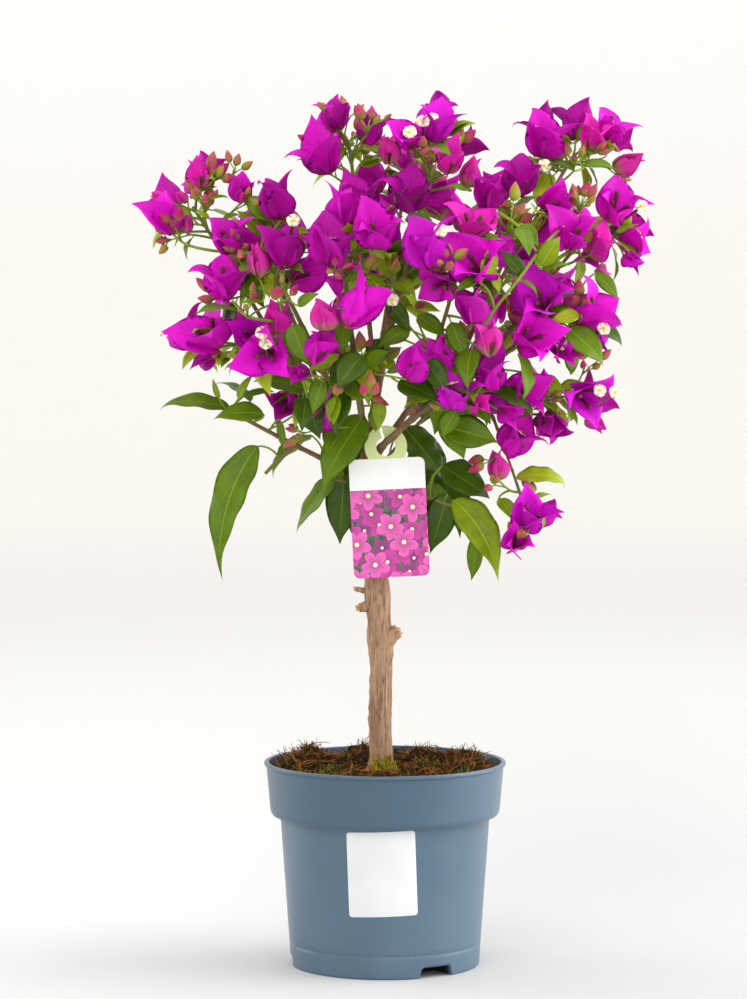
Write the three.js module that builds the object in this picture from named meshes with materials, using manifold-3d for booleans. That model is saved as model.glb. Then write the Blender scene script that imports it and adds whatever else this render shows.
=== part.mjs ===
// A potted bougainvillea, grown as a little standard tree: a plastic pot of compost, one bare stem, boughs
// that fork from its pruned head, and a round crown of twigs with green leaves and magenta bracts.
// Millimetres, +Z up, front towards -Y. The origin is the middle of the pot's flat underside.
import * as THREE from 'three';
import { mergeVertices } from 'three/addons/utils/BufferGeometryUtils.js';
import Module from 'manifold-3d';

const wasm = await Module();
wasm.setup();
const { Manifold, Mesh: SolidMesh } = wasm;

// ---- driving dimensions -----------------------------------------------------------------------------------
const GAP = 0.3; // clearance between neighbouring pieces
const JOIN_TOLERANCE = 0.05; // slivers that a join leaves are smoothed away within this

const pot = {
  height: 129, footRadius: 59.6, waistRadius: 66.2, wall: 1.6, floor: 2.4, edge: 0.6, step: 3, sides: 40,
  collarBottom: 96, collarRadius: 72.4, collarTopRadius: 75, lipRadius: 76.4, lipHeight: 2.6,
};
const notch = {
  count: 3, first: 32.5, width: 25, topWidth: 21, height: 7, depth: 22, roof: 1.6,
  drainRadius: 4, drainLength: 6, drainInset: 2,
};
const soil = { level: 119.5, crest: 121.5, bump: 5.5, slope: 14, rings: 6, sides: 24, standRadius: 13 };
const trunk = {
  radius: 6.9, flareRadius: 9.6, flareHeight: 9, headRadius: 8.2, headHeight: 45,
  sides: 10, rings: 13, flareShare: 0.3, flareSpan: 0.12, ribs: 3, ripple: 0.45, rippleLength: 31,
  line: [[-2.2, 0, soil.crest + GAP], [-2.6, -0.6, 155], [-2.6, 0.4, 197], [-5.9, 0, 242], [-11.4, 0, 325]],
};
const stubs = [ // cut side shoots on the stem: height, compass angle, length, radius, rise
  { height: 235, angle: 178, length: 6.2, radius: 1.5, rise: 12 },
  { height: 228.5, angle: 190, length: 5.2, radius: 3.0, rise: -12 },
  { height: 204, angle: -8, length: 6.6, radius: 4.2, rise: 34 },
];
const tag = {
  width: 47.5, height: 74.6, corner: 4, thickness: 0.6, ringRadius: 13.3, holeRadius: 6, holeAboveTop: 7.2,
  slit: 1.6, slitAngle: 104, plane: -16, holeX: 0.4, holeZ: 328.6, tilt: 2.7, clear: 2,
};

// Masses of the crown: middle, half-widths, what carries the mass, then how much grows in it.
// droop turns its leaves from outwards (0) to straight down (1); leaf is the usual length of a leaf.
const masses = [
  { name: 'far_left', at: [-120, -8, 478], half: [49, 35, 36],
    shoots: 5, blooms: 5, leaves: 5, buds: 5, leaf: 24, bract: 28 },
  { name: 'left_high', at: [-75, -34, 451], half: [51, 42, 46],
    shoots: 7, blooms: 7, leaves: 9, buds: 2, leaf: 36, bract: 32 },
  { name: 'left_low', at: [-92, -22, 393], half: [54, 42, 33],
    shoots: 6, blooms: 5, leaves: 8, buds: 1, leaf: 40, bract: 34 },
  { name: 'top_left', at: [-22, 4, 514], half: [39, 38, 45],
    shoots: 6, blooms: 6, leaves: 6, buds: 3, leaf: 32, bract: 32 },
  { name: 'top_mid', at: [31, -12, 514], half: [35, 38, 44],
    shoots: 5, blooms: 5, leaves: 6, buds: 2, leaf: 32, bract: 32 },
  { name: 'top_right', at: [118, 4, 510], half: [53, 40, 41],
    shoots: 7, blooms: 7, leaves: 7, buds: 3, leaf: 30, bract: 32 },
  { name: 'right_high', at: [83, -30, 468], half: [47, 42, 41],
    shoots: 6, blooms: 6, leaves: 8, buds: 1, leaf: 38, bract: 32 },
  { name: 'right_far', at: [131, 8, 466], half: [38, 44, 48],
    shoots: 6, blooms: 6, leaves: 7, buds: 2, leaf: 34, bract: 32 },
  { name: 'right_mid', at: [105, -20, 408], half: [49, 44, 38],
    shoots: 8, blooms: 8, leaves: 9, buds: 1, leaf: 40, bract: 34 },
  { name: 'right_low', at: [104, -4, 360], half: [48, 38, 34],
    shoots: 6, blooms: 6, leaves: 8, buds: 1, leaf: 38, bract: 33 },
  { name: 'spray_low', at: [89, -15, 285], half: [29, 28, 31],
    shoots: 3, blooms: 3, leaves: 2, buds: 2, leaf: 30, bract: 28 },
  { name: 'leaves_right', at: [48, -12, 289], half: [32, 34, 50],
    shoots: 7, blooms: 0, leaves: 8, buds: 0, leaf: 54, leafWidth: 0.5, droop: 0.75 },
  { name: 'twig_left', at: [-100, -5, 352], half: [50, 32, 26],
    shoots: 4, blooms: 0, leaves: 8, buds: 0, leaf: 46, droop: 0.25 },
  { name: 'hang_left', at: [-92, 3, 291], half: [28, 23, 50],
    shoots: 1, blooms: 0, leaves: 1, buds: 0, leaf: 84, leafWidth: 0.36, droop: 0.93 },
  { name: 'leaves_left', at: [-38, -15, 309], half: [30, 34, 51],
    shoots: 5, blooms: 0, leaves: 6, buds: 0, leaf: 52, leafWidth: 0.5, droop: 0.7 },
  { name: 'front_left', at: [-26, -68, 446], half: [48, 42, 49],
    shoots: 8, blooms: 8, leaves: 9, buds: 2, leaf: 38, bract: 35 },
  { name: 'front_right', at: [46, -68, 444], half: [45, 42, 49],
    shoots: 8, blooms: 8, leaves: 9, buds: 1, leaf: 40, bract: 35 },
  { name: 'front_low', at: [-20, -48, 377], half: [51, 46, 40],
    shoots: 6, blooms: 2, leaves: 19, buds: 1, leaf: 42, bract: 26 },
  { name: 'front_deep', at: [49, -48, 367], half: [48, 46, 41],
    shoots: 5, blooms: 5, leaves: 11, buds: 0, leaf: 42, bract: 31 },
  { name: 'middle', at: [8, 4, 436], half: [42, 38, 44],
    shoots: 5, blooms: 5, leaves: 9, buds: 0, leaf: 40, bract: 33 },
  { name: 'back_top', at: [12, 56, 488], half: [46, 38, 38],
    shoots: 5, blooms: 5, leaves: 5, buds: 1, leaf: 34, bract: 33 },
  { name: 'back_left', at: [-72, 48, 440], half: [48, 44, 48],
    shoots: 6, blooms: 6, leaves: 9, buds: 1, leaf: 38, bract: 35 },
  { name: 'back_mid', at: [4, 86, 432], half: [47, 42, 48],
    shoots: 6, blooms: 6, leaves: 9, buds: 1, leaf: 38, bract: 35 },
  { name: 'back_right', at: [82, 62, 436], half: [48, 44, 46],
    shoots: 6, blooms: 6, leaves: 9, buds: 1, leaf: 38, bract: 35 },
  { name: 'back_low_left', at: [-48, 52, 368], half: [46, 42, 38],
    shoots: 3, blooms: 3, leaves: 10, buds: 0, leaf: 46, bract: 33 },
  { name: 'back_low_right', at: [44, 56, 362], half: [48, 44, 40],
    shoots: 4, blooms: 4, leaves: 10, buds: 0, leaf: 46, bract: 33 },
  { name: 'leaves_back', at: [6, 44, 310], half: [38, 29, 40],
    shoots: 4, blooms: 0, leaves: 6, buds: 0, leaf: 50, droop: 0.7 },
];

// Boughs: where each leaves the stem (height) or its parent bough (share of its length), its start radius, and
// how far it arches over the straight way to the mass at its tip. One of them is led through the tag's ring.
const boughs = [
  { name: 'bough_right', from: 'trunk', at: 317, radius: 2.4, lift: 0, to: 'right_mid',
    via: [[-4, -8, 326.5], [0.2, -16, 331], [4, -24, 334.5], [16, -31, 346]] },
  { name: 'bough_left', from: 'trunk', at: 320, radius: 2.5, lift: 8, to: 'left_low' },
  { name: 'bough_twig_left', from: 'trunk', at: 306, radius: 2.0, lift: -2, to: 'twig_left' },
  { name: 'bough_front_left', from: 'trunk', at: 324, radius: 2.3, lift: -8, to: 'front_left' },
  { name: 'bough_front_right', from: 'bough_right', at: 0.42, radius: 1.8, lift: -6, to: 'front_right' },
  { name: 'bough_top', from: 'trunk', at: 324, radius: 2.6, lift: -4, to: 'middle' },
  { name: 'bough_back', from: 'trunk', at: 321, radius: 2.5, lift: 6, to: 'back_mid' },
  { name: 'bough_back_right', from: 'trunk', at: 314, radius: 2.3, lift: 8, to: 'back_right' },
  { name: 'bough_back_left', from: 'trunk', at: 311, radius: 2.3, lift: 8, to: 'back_left' },
  { name: 'bough_left_high', from: 'bough_left', at: 0.45, radius: 1.8, lift: 5, to: 'left_high' },
  { name: 'bough_far_left', from: 'bough_left', at: 0.8, radius: 1.6, lift: 6, to: 'far_left' },
  { name: 'bough_top_left', from: 'bough_top', at: 0.5, radius: 1.8, lift: 4, to: 'top_left' },
  { name: 'bough_top_mid', from: 'bough_top', at: 0.75, radius: 1.7, lift: 2, to: 'top_mid' },
  { name: 'bough_right_high', from: 'bough_right', at: 0.6, radius: 1.9, lift: -6, to: 'right_high' },
  { name: 'bough_right_far', from: 'bough_right', at: 0.85, radius: 1.7, lift: 4, to: 'right_far' },
  { name: 'bough_top_right', from: 'bough_right_high', at: 0.6, radius: 1.6, lift: 3, to: 'top_right' },
  { name: 'bough_right_low', from: 'bough_right', at: 0.7, radius: 1.6, lift: -4, to: 'right_low' },
  { name: 'bough_spray', from: 'bough_right_low', at: 0.6, radius: 1.2, lift: 5, to: 'spray_low' },
  { name: 'bough_back_top', from: 'bough_back', at: 0.6, radius: 1.8, lift: 2, to: 'back_top' },
];
const boughForm = {
  sides: 5, steps: 4, viaSteps: 7, tipShare: 0.68, firstEnd: 0.3, lastEnd: 0.9, endStep: 0.01,
};

// Stems of the masses that the pruned head carries itself: the height where each leaves it.
const headStems = {
  leaves_left: 298, leaves_right: 303, leaves_back: 296,
  front_low: 316, back_low_left: 317, back_low_right: 306,
};
// A stem that starts on a bough of another mass: the bough, the share of its length, and the share of the way
// to the middle of its own mass that the stem covers.
const boughStems = {
  hang_left: { from: 'bough_twig_left', at: 0.8, reach: 0.5 },
  front_deep: { from: 'bough_right', at: 0.4, reach: 1 },
};
const stemForm = { sides: 4, steps: 4, onwardSteps: 3, radius: 1.7, tipRadius: 1.1, lift: 4 };

// Shoots leave the stem of a mass in a spiral, the highest first. Each ends in a star of bracts or in a leaf.
const shoot = {
  sides: 3, steps: 2, radius: 1.0, sideRadius: 0.9, tipRadius: 0.7, rootRadius: 0.4,
  spread: 1.85, // how much of the ball round the stem's tip the shoots fill: 2 would be all of it
  bend: 0.35, // how far a shoot runs on along its parent before it turns, as a share of its length
  highest: 0.96, span: 0.5, // where on the stem the first shoot starts, and how far below it the last one does
  sideFrom: 0.3, sideTo: 0.8, // the stretch of a shoot where its side shoots start
  smallest: 0.86, largest: 1.06, // sizes of the stars and tip leaves
  attempts: 60, turnStray: 6, shrink: 0.25, // how far later attempts turn away, and how much smaller they get
  stray: 0.25, // how far a tip nods away from its shoot's direction
  parts: [0.92, 0.8, 0.68, 0.56, 0.44, 0.32, 0.2, 0.08], // shares of the way out to the edge of the space
};
const bloom = {
  open: 44, openStray: 7, width: 0.74, widest: 0.46, thick: 1.0, cup: 2.6, heart: 3.2, nod: -1.5,
};
const leaf = {
  width: 0.52, widest: 0.42, thick: 0.9, fold: 0.09, bend: 0.08, rootDepth: 0.2,
  smallest: 0.8, largest: 1.2, lowest: 0.15, highest: 0.9, forward: 0.5,
  droop: 0.2, hangOut: 0.3, turnPlane: 25, sideways: 0.35, attempts: 16, shrink: 0.5, turnStray: 0.5,
};
const bud = { length: 13, width: 3.6, lowest: 0.55, highest: 0.98, forward: 1.1 };
const crownMiddle = new THREE.Vector3(5, 0, 420);
const seeds = { mass: 7919, shoot: 104729, shootTry: 15485863, shootBase: 17,
  organ: 32452843, organTry: 49979687, organBase: 41 };

const colours = {
  pot: 0x5d6b75, soil: 0x4a3b28, bark: 0x8a7458, bough: 0x6b5a3c,
  leaf: 0x4d7a33, bloom: 0xb01f9c, tag: 0xe9e7e0,
};

// ---- small tools ------------------------------------------------------------------------------------------
const UP = new THREE.Vector3(0, 0, 1);
const GOLDEN = Math.PI * (3 - Math.sqrt(5));
const radians = THREE.MathUtils.degToRad;
const vector = (list) => new THREE.Vector3(...list);

// A fixed stream of chance for each seed: the same plant grows every time.
function chance(seed) {
  let state = seed >>> 0;
  const next = () => {
    state = (Math.imul(state, 1664525) + 1013904223) >>> 0;
    return state / 2 ** 32;
  };
  next();
  next();
  return (low, high) => low + (high - low) * next();
}

function solidFrom(points, faces) {
  const vertProperties = new Float32Array(points.flatMap((p) => [p.x, p.y, p.z]));
  return new Manifold(new SolidMesh({ numProp: 3, vertProperties, triVerts: new Uint32Array(faces.flat()) }));
}

function solidOf(geometry) {
  geometry.deleteAttribute('normal');
  geometry.deleteAttribute('uv');
  const merged = mergeVertices(geometry, 1e-4);
  const vertProperties = merged.attributes.position.array;
  const triVerts = new Uint32Array(merged.index.array);
  return new Manifold(new SolidMesh({ numProp: 3, vertProperties, triVerts }));
}

function geometryOf(solid) {
  const { vertProperties, triVerts } = solid.getMesh();
  const geometry = new THREE.BufferGeometry();
  geometry.setAttribute('position', new THREE.BufferAttribute(vertProperties, 3));
  geometry.setIndex(new THREE.BufferAttribute(triVerts, 1));
  return geometry;
}

// The largest body of a cut solid: scraps that a cut leaves loose are dropped.
function mainBody(solid) {
  return solid.decompose().reduce((best, body) => (body.volume() > best.volume() ? body : best));
}

// A direction square to another one, as near as can be to a wanted one.
function squareTo(axis, wanted) {
  const side = wanted.clone().addScaledVector(axis, -wanted.dot(axis));
  if (side.lengthSq() < 1e-6) side.set(axis.y, axis.z, axis.x).cross(axis);
  return side.normalize();
}

// A direction square to a twig, turned round it.
function roundTwig(along, turn) {
  const side = squareTo(along, UP);
  const other = along.clone().cross(side);
  return side.multiplyScalar(Math.cos(turn)).addScaledVector(other, Math.sin(turn));
}

// Rings of a few sides round a row of points, each turned as little as can be from the one before it.
function ringsRound(points, radiusAt, sides, firstSide) {
  let side = firstSide;
  return points.map((point, i) => {
    const before = points[Math.max(i - 1, 0)];
    const after = points[Math.min(i + 1, points.length - 1)];
    const along = after.clone().sub(before).normalize();
    side = squareTo(along, side);
    const other = along.clone().cross(side);
    return Array.from({ length: sides }, (_, k) => {
      const turn = (2 * Math.PI * k) / sides;
      const radius = radiusAt(i / (points.length - 1), turn);
      return point.clone()
        .addScaledVector(side, radius * Math.cos(turn))
        .addScaledVector(other, radius * Math.sin(turn));
    });
  });
}

// The faces of a tube through such rings, with a flat cut at its foot and, where it is closed, at its tip.
function tubeFaces(ringCount, sides, closed) {
  const faces = [];
  for (let i = 0; i < ringCount - 1; i += 1) {
    for (let k = 0; k < sides; k += 1) {
      const a = i * sides + k;
      const b = i * sides + ((k + 1) % sides);
      faces.push([a, b, b + sides], [a, b + sides, a + sides]);
    }
  }
  const last = (ringCount - 1) * sides;
  for (let k = 1; k < sides - 1; k += 1) {
    faces.push([0, k + 1, k]);
    if (closed) faces.push([last, last + k, last + k + 1]);
  }
  return faces;
}

function limb(points, radiusAt, sides) {
  const rings = ringsRound(points, radiusAt, sides, new THREE.Vector3(1, 0, 0));
  return solidFrom(rings.flat(), tubeFaces(rings.length, sides, true));
}

// ---- pot and soil -----------------------------------------------------------------------------------------
function lathe(outline, sides) {
  const points = outline.map(([radius, height]) => new THREE.Vector2(radius, height));
  return solidOf(new THREE.LatheGeometry(points, sides).rotateX(Math.PI / 2));
}

// A bar with a trapezoid section that runs inwards from the pot's wall, on the floor, at a compass angle.
function footBar(angle, width, topWidth, bottom, height, inner, outer) {
  const section = new THREE.Shape([
    new THREE.Vector2(-width / 2, bottom), new THREE.Vector2(width / 2, bottom),
    new THREE.Vector2(topWidth / 2, height), new THREE.Vector2(-topWidth / 2, height),
  ]);
  const bar = new THREE.ExtrudeGeometry(section, { depth: outer - inner, bevelEnabled: false });
  return solidOf(bar.rotateX(Math.PI / 2).translate(0, -inner, 0).rotateZ(radians(angle)));
}

// The notches stand at even angles, the first of them to the right of the front.
const notchAngles = Array.from({ length: notch.count }, (_, k) => notch.first + (k * 360) / notch.count);
const notchInner = pot.footRadius - notch.depth;

// The roof over each notch, with more cover on every side of it.
function notchRoof(angle, cover) {
  const { width, topWidth, height } = notch;
  return footBar(angle, width + 2 * cover, topWidth + 2 * cover, pot.floor / 2, height + cover,
    notchInner - cover, pot.footRadius - 1);
}

// The upright hole from the soil down into a notch, which lets the water out.
function drainHole(angle) {
  const drain = new THREE.CylinderGeometry(notch.drainRadius, notch.drainRadius, notch.drainLength, 8);
  const out = notchInner + notch.drainRadius + notch.drainInset;
  drain.rotateX(Math.PI / 2).translate(0, -out, notch.height + notch.roof / 2);
  return solidOf(drain.rotateZ(radians(angle)));
}

function potSolid() {
  const { footRadius, waistRadius, wall, floor, height, step, edge } = pot;
  const { collarBottom, collarRadius, collarTopRadius } = pot;
  const lipFoot = height - pot.lipHeight;
  let body = lathe([
    [0, 0], [footRadius, 0], [waistRadius, collarBottom - 1], [collarRadius - step, collarBottom - edge],
    [collarRadius, collarBottom + step], [collarTopRadius, lipFoot],
    [pot.lipRadius, lipFoot + edge], [pot.lipRadius, height - edge], [pot.lipRadius - edge, height],
    [collarTopRadius - wall, height], [collarRadius - wall, collarBottom + step - edge],
    [waistRadius - wall, collarBottom], [footRadius - wall, floor], [0, floor],
  ], pot.sides);
  for (const angle of notchAngles) {
    body = body.add(notchRoof(angle, notch.roof))
      .subtract(footBar(angle, notch.width, notch.topWidth, -1, notch.height, notchInner, pot.lipRadius))
      .subtract(drainHole(angle));
  }
  return mainBody(body);
}

// How high the compost stands at a place: a mound of a few rounded waves, level under the stem.
function soilHeight(radius, angle) {
  if (radius <= soil.standRadius) return soil.crest;
  const x = radius * Math.cos(angle);
  const y = radius * Math.sin(angle);
  const waves = Math.sin(x * 0.19 + 0.6) * Math.cos(y * 0.16 - 0.4)
    + 0.6 * Math.sin(x * 0.37 - y * 0.29 + 1.1)
    + 0.4 * Math.cos(x * 0.11 + y * 0.47);
  const rise = THREE.MathUtils.smoothstep(radius, soil.standRadius, soil.standRadius + soil.slope);
  return soil.level + (soil.crest - soil.level) * (1 - rise) + rise * soil.bump * (0.35 + 0.35 * waves);
}

function soilSolid() {
  const { floor, wall, footRadius, waistRadius, collarBottom, collarRadius, collarTopRadius, height } = pot;
  const shrink = Math.cos(Math.PI / pot.sides); // the pot's own facets come this much nearer to its axis
  const clear = wall + GAP / shrink;
  const collarShare = (soil.level - collarBottom) / (height - pot.lipHeight - collarBottom);
  const wallRings = [
    [footRadius - clear, floor + GAP], [waistRadius - clear, collarBottom],
    [collarRadius - clear, collarBottom + pot.step + GAP],
  ];
  const rim = (collarRadius - clear + (collarTopRadius - collarRadius) * collarShare) * shrink;
  const points = [new THREE.Vector3(0, 0, floor + GAP)];
  const ring = (radius, heightAt) => {
    for (let k = 0; k < soil.sides; k += 1) {
      const angle = (2 * Math.PI * k) / soil.sides;
      const z = heightAt(radius, angle);
      points.push(new THREE.Vector3(radius * Math.cos(angle), radius * Math.sin(angle), z));
    }
  };
  wallRings.forEach(([radius, z]) => ring(radius * shrink, () => z));
  for (let i = soil.rings; i >= 1; i -= 1) {
    ring(THREE.MathUtils.mapLinear(i, 1, soil.rings, soil.standRadius, rim), soilHeight);
  }
  points.push(new THREE.Vector3(0, 0, soil.crest));
  const rows = wallRings.length + soil.rings;
  const top = 1 + (rows - 1) * soil.sides;
  const faces = [];
  for (let k = 0; k < soil.sides; k += 1) {
    const next = (k + 1) % soil.sides;
    faces.push([0, 1 + next, 1 + k]);
    for (let a = 1; a < top; a += soil.sides) {
      faces.push([a + k, a + next, a + next + soil.sides], [a + k, a + next + soil.sides, a + k + soil.sides]);
    }
    faces.push([top + k, top + next, points.length - 1]);
  }
  const body = solidFrom(points, faces);
  return notchAngles.reduce((rest, angle) => rest.subtract(notchRoof(angle, notch.roof + 2 * GAP)), body);
}

// ---- stem -------------------------------------------------------------------------------------------------
const trunkCurve = new THREE.CatmullRomCurve3(trunk.line.map(vector), false, 'centripetal');
const trunkFoot = trunk.line[0][2];
const trunkTop = trunk.line.at(-1)[2];

// The middle of the stem at a height: its curve rises all the way, so a few halvings find it.
function trunkPoint(height) {
  let low = 0;
  let high = 1;
  for (let i = 0; i < 24; i += 1) {
    const middle = (low + high) / 2;
    if (trunkCurve.getPoint(middle).z < height) low = middle;
    else high = middle;
  }
  return trunkCurve.getPoint(low);
}

function trunkRadius(height) {
  const flare = Math.max(0, 1 - (height - trunkFoot) / trunk.flareHeight);
  const head = Math.max(0, 1 - (trunkTop - height) / trunk.headHeight);
  return trunk.radius + (trunk.flareRadius - trunk.radius) * flare ** 2
    + (trunk.headRadius - trunk.radius) * Math.sin((head * Math.PI) / 2);
}

// Heights of the stem's rings: the lowest ones stand close together, where the root flare curves.
function trunkHeight(share) {
  const { flareShare, flareSpan } = trunk;
  const along = share < flareShare
    ? (share * flareSpan) / flareShare
    : flareSpan + ((share - flareShare) * (1 - flareSpan)) / (1 - flareShare);
  return trunkFoot + (trunkTop - trunkFoot) * along;
}

function trunkSolid(grow) {
  const heights = Array.from({ length: trunk.rings }, (_, i) => trunkHeight(i / (trunk.rings - 1)));
  const radiusAt = (share, turn) => {
    const height = heights[Math.round(share * (trunk.rings - 1))];
    const ripple = trunk.ripple * Math.sin(trunk.ribs * turn + height / trunk.rippleLength);
    return trunkRadius(height) + ripple + grow;
  };
  const points = heights.map(trunkPoint);
  points[0].z = trunkFoot;
  points[1].x = points[0].x; // the first stretch is upright, so that the cut at the foot is level
  points[1].y = points[0].y;
  let body = limb(points, radiusAt, trunk.sides);
  for (const { height, angle, length, radius, rise } of stubs) {
    const out = new THREE.Vector3(Math.cos(radians(angle)), Math.sin(radians(angle)), Math.tan(radians(rise)));
    const root = trunkPoint(height);
    const tip = root.clone().addScaledVector(out.normalize(), trunkRadius(height) + length + grow);
    body = body.add(limb([root, tip], (share) => radius * (1.15 - 0.2 * share) + grow, 8));
  }
  return body;
}

// ---- spaces of the masses ---------------------------------------------------------------------------------
// Each mass keeps to an ellipsoid, cut by a plane against each neighbour where the two would meet.
const cells = masses.map(({ at, half }) => ({ centre: vector(at), half: vector(half), planes: [] }));
const NEIGHBOUR = 1.2; // masses further apart than this many times their reach need no plane

function ellipsoidReach(cell, direction) {
  return 1 / direction.clone().divide(cell.half).length();
}

cells.forEach((a, i) => cells.slice(i + 1).forEach((b) => {
  const between = b.centre.clone().sub(a.centre);
  const distance = between.length();
  between.normalize();
  const reachA = ellipsoidReach(a, between);
  const reachB = ellipsoidReach(b, between);
  if (distance > NEIGHBOUR * (reachA + reachB)) return;
  const share = (distance * reachA) / (reachA + reachB);
  const back = between.clone().negate();
  a.planes.push({ normal: between, limit: between.dot(a.centre) + share - GAP });
  b.planes.push({ normal: back, limit: back.dot(b.centre) + (distance - share) - GAP });
}));

function inCell(cell, point) {
  return point.clone().sub(cell.centre).divide(cell.half).lengthSq() <= 1
    && cell.planes.every(({ normal, limit }) => normal.dot(point) <= limit);
}

// How far the space reaches from its middle in a direction.
function cellReach(cell, direction) {
  return cell.planes.reduce((reach, { normal, limit }) => {
    const slope = normal.dot(direction);
    return slope > 1e-6 ? Math.min(reach, (limit - normal.dot(cell.centre)) / slope) : reach;
  }, ellipsoidReach(cell, direction));
}

// ---- boughs and the stems of the masses -------------------------------------------------------------------
const ways = {}; // each bough's curve, with the share of it where the bough ends and its mass takes over

// The way from a place on the stem or on a bough to the middle of a mass, in one arch.
function wayTo(start, cell, lift, via) {
  const end = cell.centre.clone();
  if (via) return new THREE.CatmullRomCurve3([start, ...via.map(vector), end], false, 'centripetal');
  const arch = start.clone().lerp(end, 0.5);
  arch.z += lift;
  return new THREE.QuadraticBezierCurve3(start, arch, end);
}

function stretch(curve, from, to, steps) {
  return Array.from({ length: steps + 1 }, (_, i) => curve.getPointAt(from + ((to - from) * i) / steps));
}

for (const bough of boughs) {
  const cell = cells[masses.findIndex(({ name }) => name === bough.to)];
  const parent = ways[bough.from];
  const start = parent ? parent.curve.getPointAt(bough.at * parent.end) : trunkPoint(bough.at);
  const curve = wayTo(start, cell, bough.lift, bough.via);
  let end = boughForm.firstEnd;
  while (end < boughForm.lastEnd && !inCell(cell, curve.getPointAt(end))) end += boughForm.endStep;
  ways[bough.name] = { ...bough, curve, end, tip: bough.radius * boughForm.tipShare };
}

function boughSolid(way, grow) {
  const points = stretch(way.curve, 0, way.end, way.via ? boughForm.viaSteps : boughForm.steps);
  return limb(points, (share) => way.radius + (way.tip - way.radius) * share + grow, boughForm.sides);
}

// The stem of a mass goes on along the way of its bough, or leaves the head of the stem or a bough itself.
const massStems = masses.map((mass, index) => {
  const way = Object.values(ways).find(({ to }) => to === mass.name);
  if (way) {
    const start = way.end + GAP / way.curve.getLength();
    return { points: stretch(way.curve, start, 1, stemForm.onwardSteps), radius: way.tip };
  }
  const side = boughStems[mass.name];
  const start = side
    ? ways[side.from].curve.getPointAt(side.at * ways[side.from].end)
    : trunkPoint(headStems[mass.name]);
  const curve = wayTo(start, cells[index], stemForm.lift);
  return { points: stretch(curve, 0, side ? side.reach : 1, stemForm.steps), radius: stemForm.radius };
});

function stemSolid({ points, radius }, grow) {
  return limb(points, (share) => radius + (stemForm.tipRadius - radius) * share + grow, stemForm.sides);
}

// Limbs in the order in which they are built: each is cut clear of those before it.
const cutGrow = GAP * 1.25; // the facets of a grown limb come nearer than its corners
const limbs = [{ name: 'trunk', solid: trunkSolid(0), grown: trunkSolid(cutGrow) }];

function addLimb(name, build) {
  const cut = limbs.reduce((rest, { grown }) => rest.subtract(grown), build(0));
  limbs.push({ name, solid: mainBody(cut), grown: build(cutGrow) });
}

Object.values(ways).forEach((way) => addLimb(way.name, (grow) => boughSolid(way, grow)));
masses.forEach(({ name }, i) => addLimb(`${name}_stem`, (grow) => stemSolid(massStems[i], grow)));

// ---- leaves, blooms and buds, each a closed solid of a few faces ------------------------------------------
function leafShape(base, along, facing, length, width) {
  const up = squareTo(along, facing);
  const side = along.clone().cross(up);
  const half = leaf.thick / length / 2;
  const place = (on, across, above) => base.clone()
    .addScaledVector(along, on * length)
    .addScaledVector(side, across * length)
    .addScaledVector(up, above * length);
  const points = [
    place(0, 0, 0), place(leaf.widest, -width / 2, leaf.fold), place(1, 0, -leaf.bend),
    place(leaf.widest, width / 2, leaf.fold), place(leaf.widest, 0, half), place(leaf.widest, 0, -half),
  ];
  const faces = [[0, 3, 4], [3, 2, 4], [2, 1, 4], [1, 0, 4], [3, 0, 5], [2, 3, 5], [1, 2, 5], [0, 1, 5]];
  return { points, solid: solidFrom(points, faces) };
}

// Three bracts round one axis, as one star: pointed ovals that open from a common foot, with raised rims.
// Its foot is a point, or where rows of a three-sided twig are given, it grows out of the last of them.
function bloomShape(base, along, side, { length, open }, rows) {
  const other = along.clone().cross(side);
  const place = (angle, radius, height, across = 0) => {
    const out = side.clone().multiplyScalar(Math.cos(angle)).addScaledVector(other, Math.sin(angle));
    const round = along.clone().cross(out);
    return base.clone()
      .addScaledVector(out, radius)
      .addScaledVector(along, height)
      .addScaledVector(round, across);
  };
  const lean = radians(open);
  const onBract = (angle, on, above, across = 0) => place(
    angle,
    on * length * Math.sin(lean) - above * Math.cos(lean),
    on * length * Math.cos(lean) + above * Math.sin(lean),
    across,
  );
  const points = rows ? rows.flat() : [base.clone()];
  const faces = rows ? tubeFaces(rows.length, shoot.sides, false) : [];
  const feet = rows ? [3, 2, 1].map((back) => points.length - back) : [0, 0, 0];
  const top = points.length;
  points.push(base.clone().addScaledVector(along, bloom.heart));
  const wide = (bloom.width * length) / 2;
  for (let k = 0; k < 3; k += 1) {
    const angle = (2 * Math.PI * k) / 3;
    const first = points.length;
    points.push(
      place(angle - Math.PI / 3, bloom.heart, bloom.heart * 1.4),
      onBract(angle, bloom.widest, bloom.cup, -wide),
      onBract(angle, 1, bloom.nod),
      onBract(angle, bloom.widest, bloom.cup, wide),
      onBract(angle, bloom.widest, bloom.thick / 2),
      onBract(angle, bloom.widest, -bloom.thick / 2),
    );
    const next = k < 2 ? first + 6 : top + 1;
    const foot = feet[k];
    const edge = [first, first + 1, first + 2, first + 3, next];
    for (let i = 0; i < 4; i += 1) {
      faces.push([edge[i], edge[i + 1], first + 4], [edge[i + 1], edge[i], first + 5]);
    }
    faces.push([next, top, first + 4], [top, first, first + 4]);
    faces.push([foot, next, first + 5], [first, foot, first + 5]);
    if (rows) faces.push([next, foot, feet[(k + 1) % 3]]);
  }
  return { points, solid: solidFrom(points, faces) };
}

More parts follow.
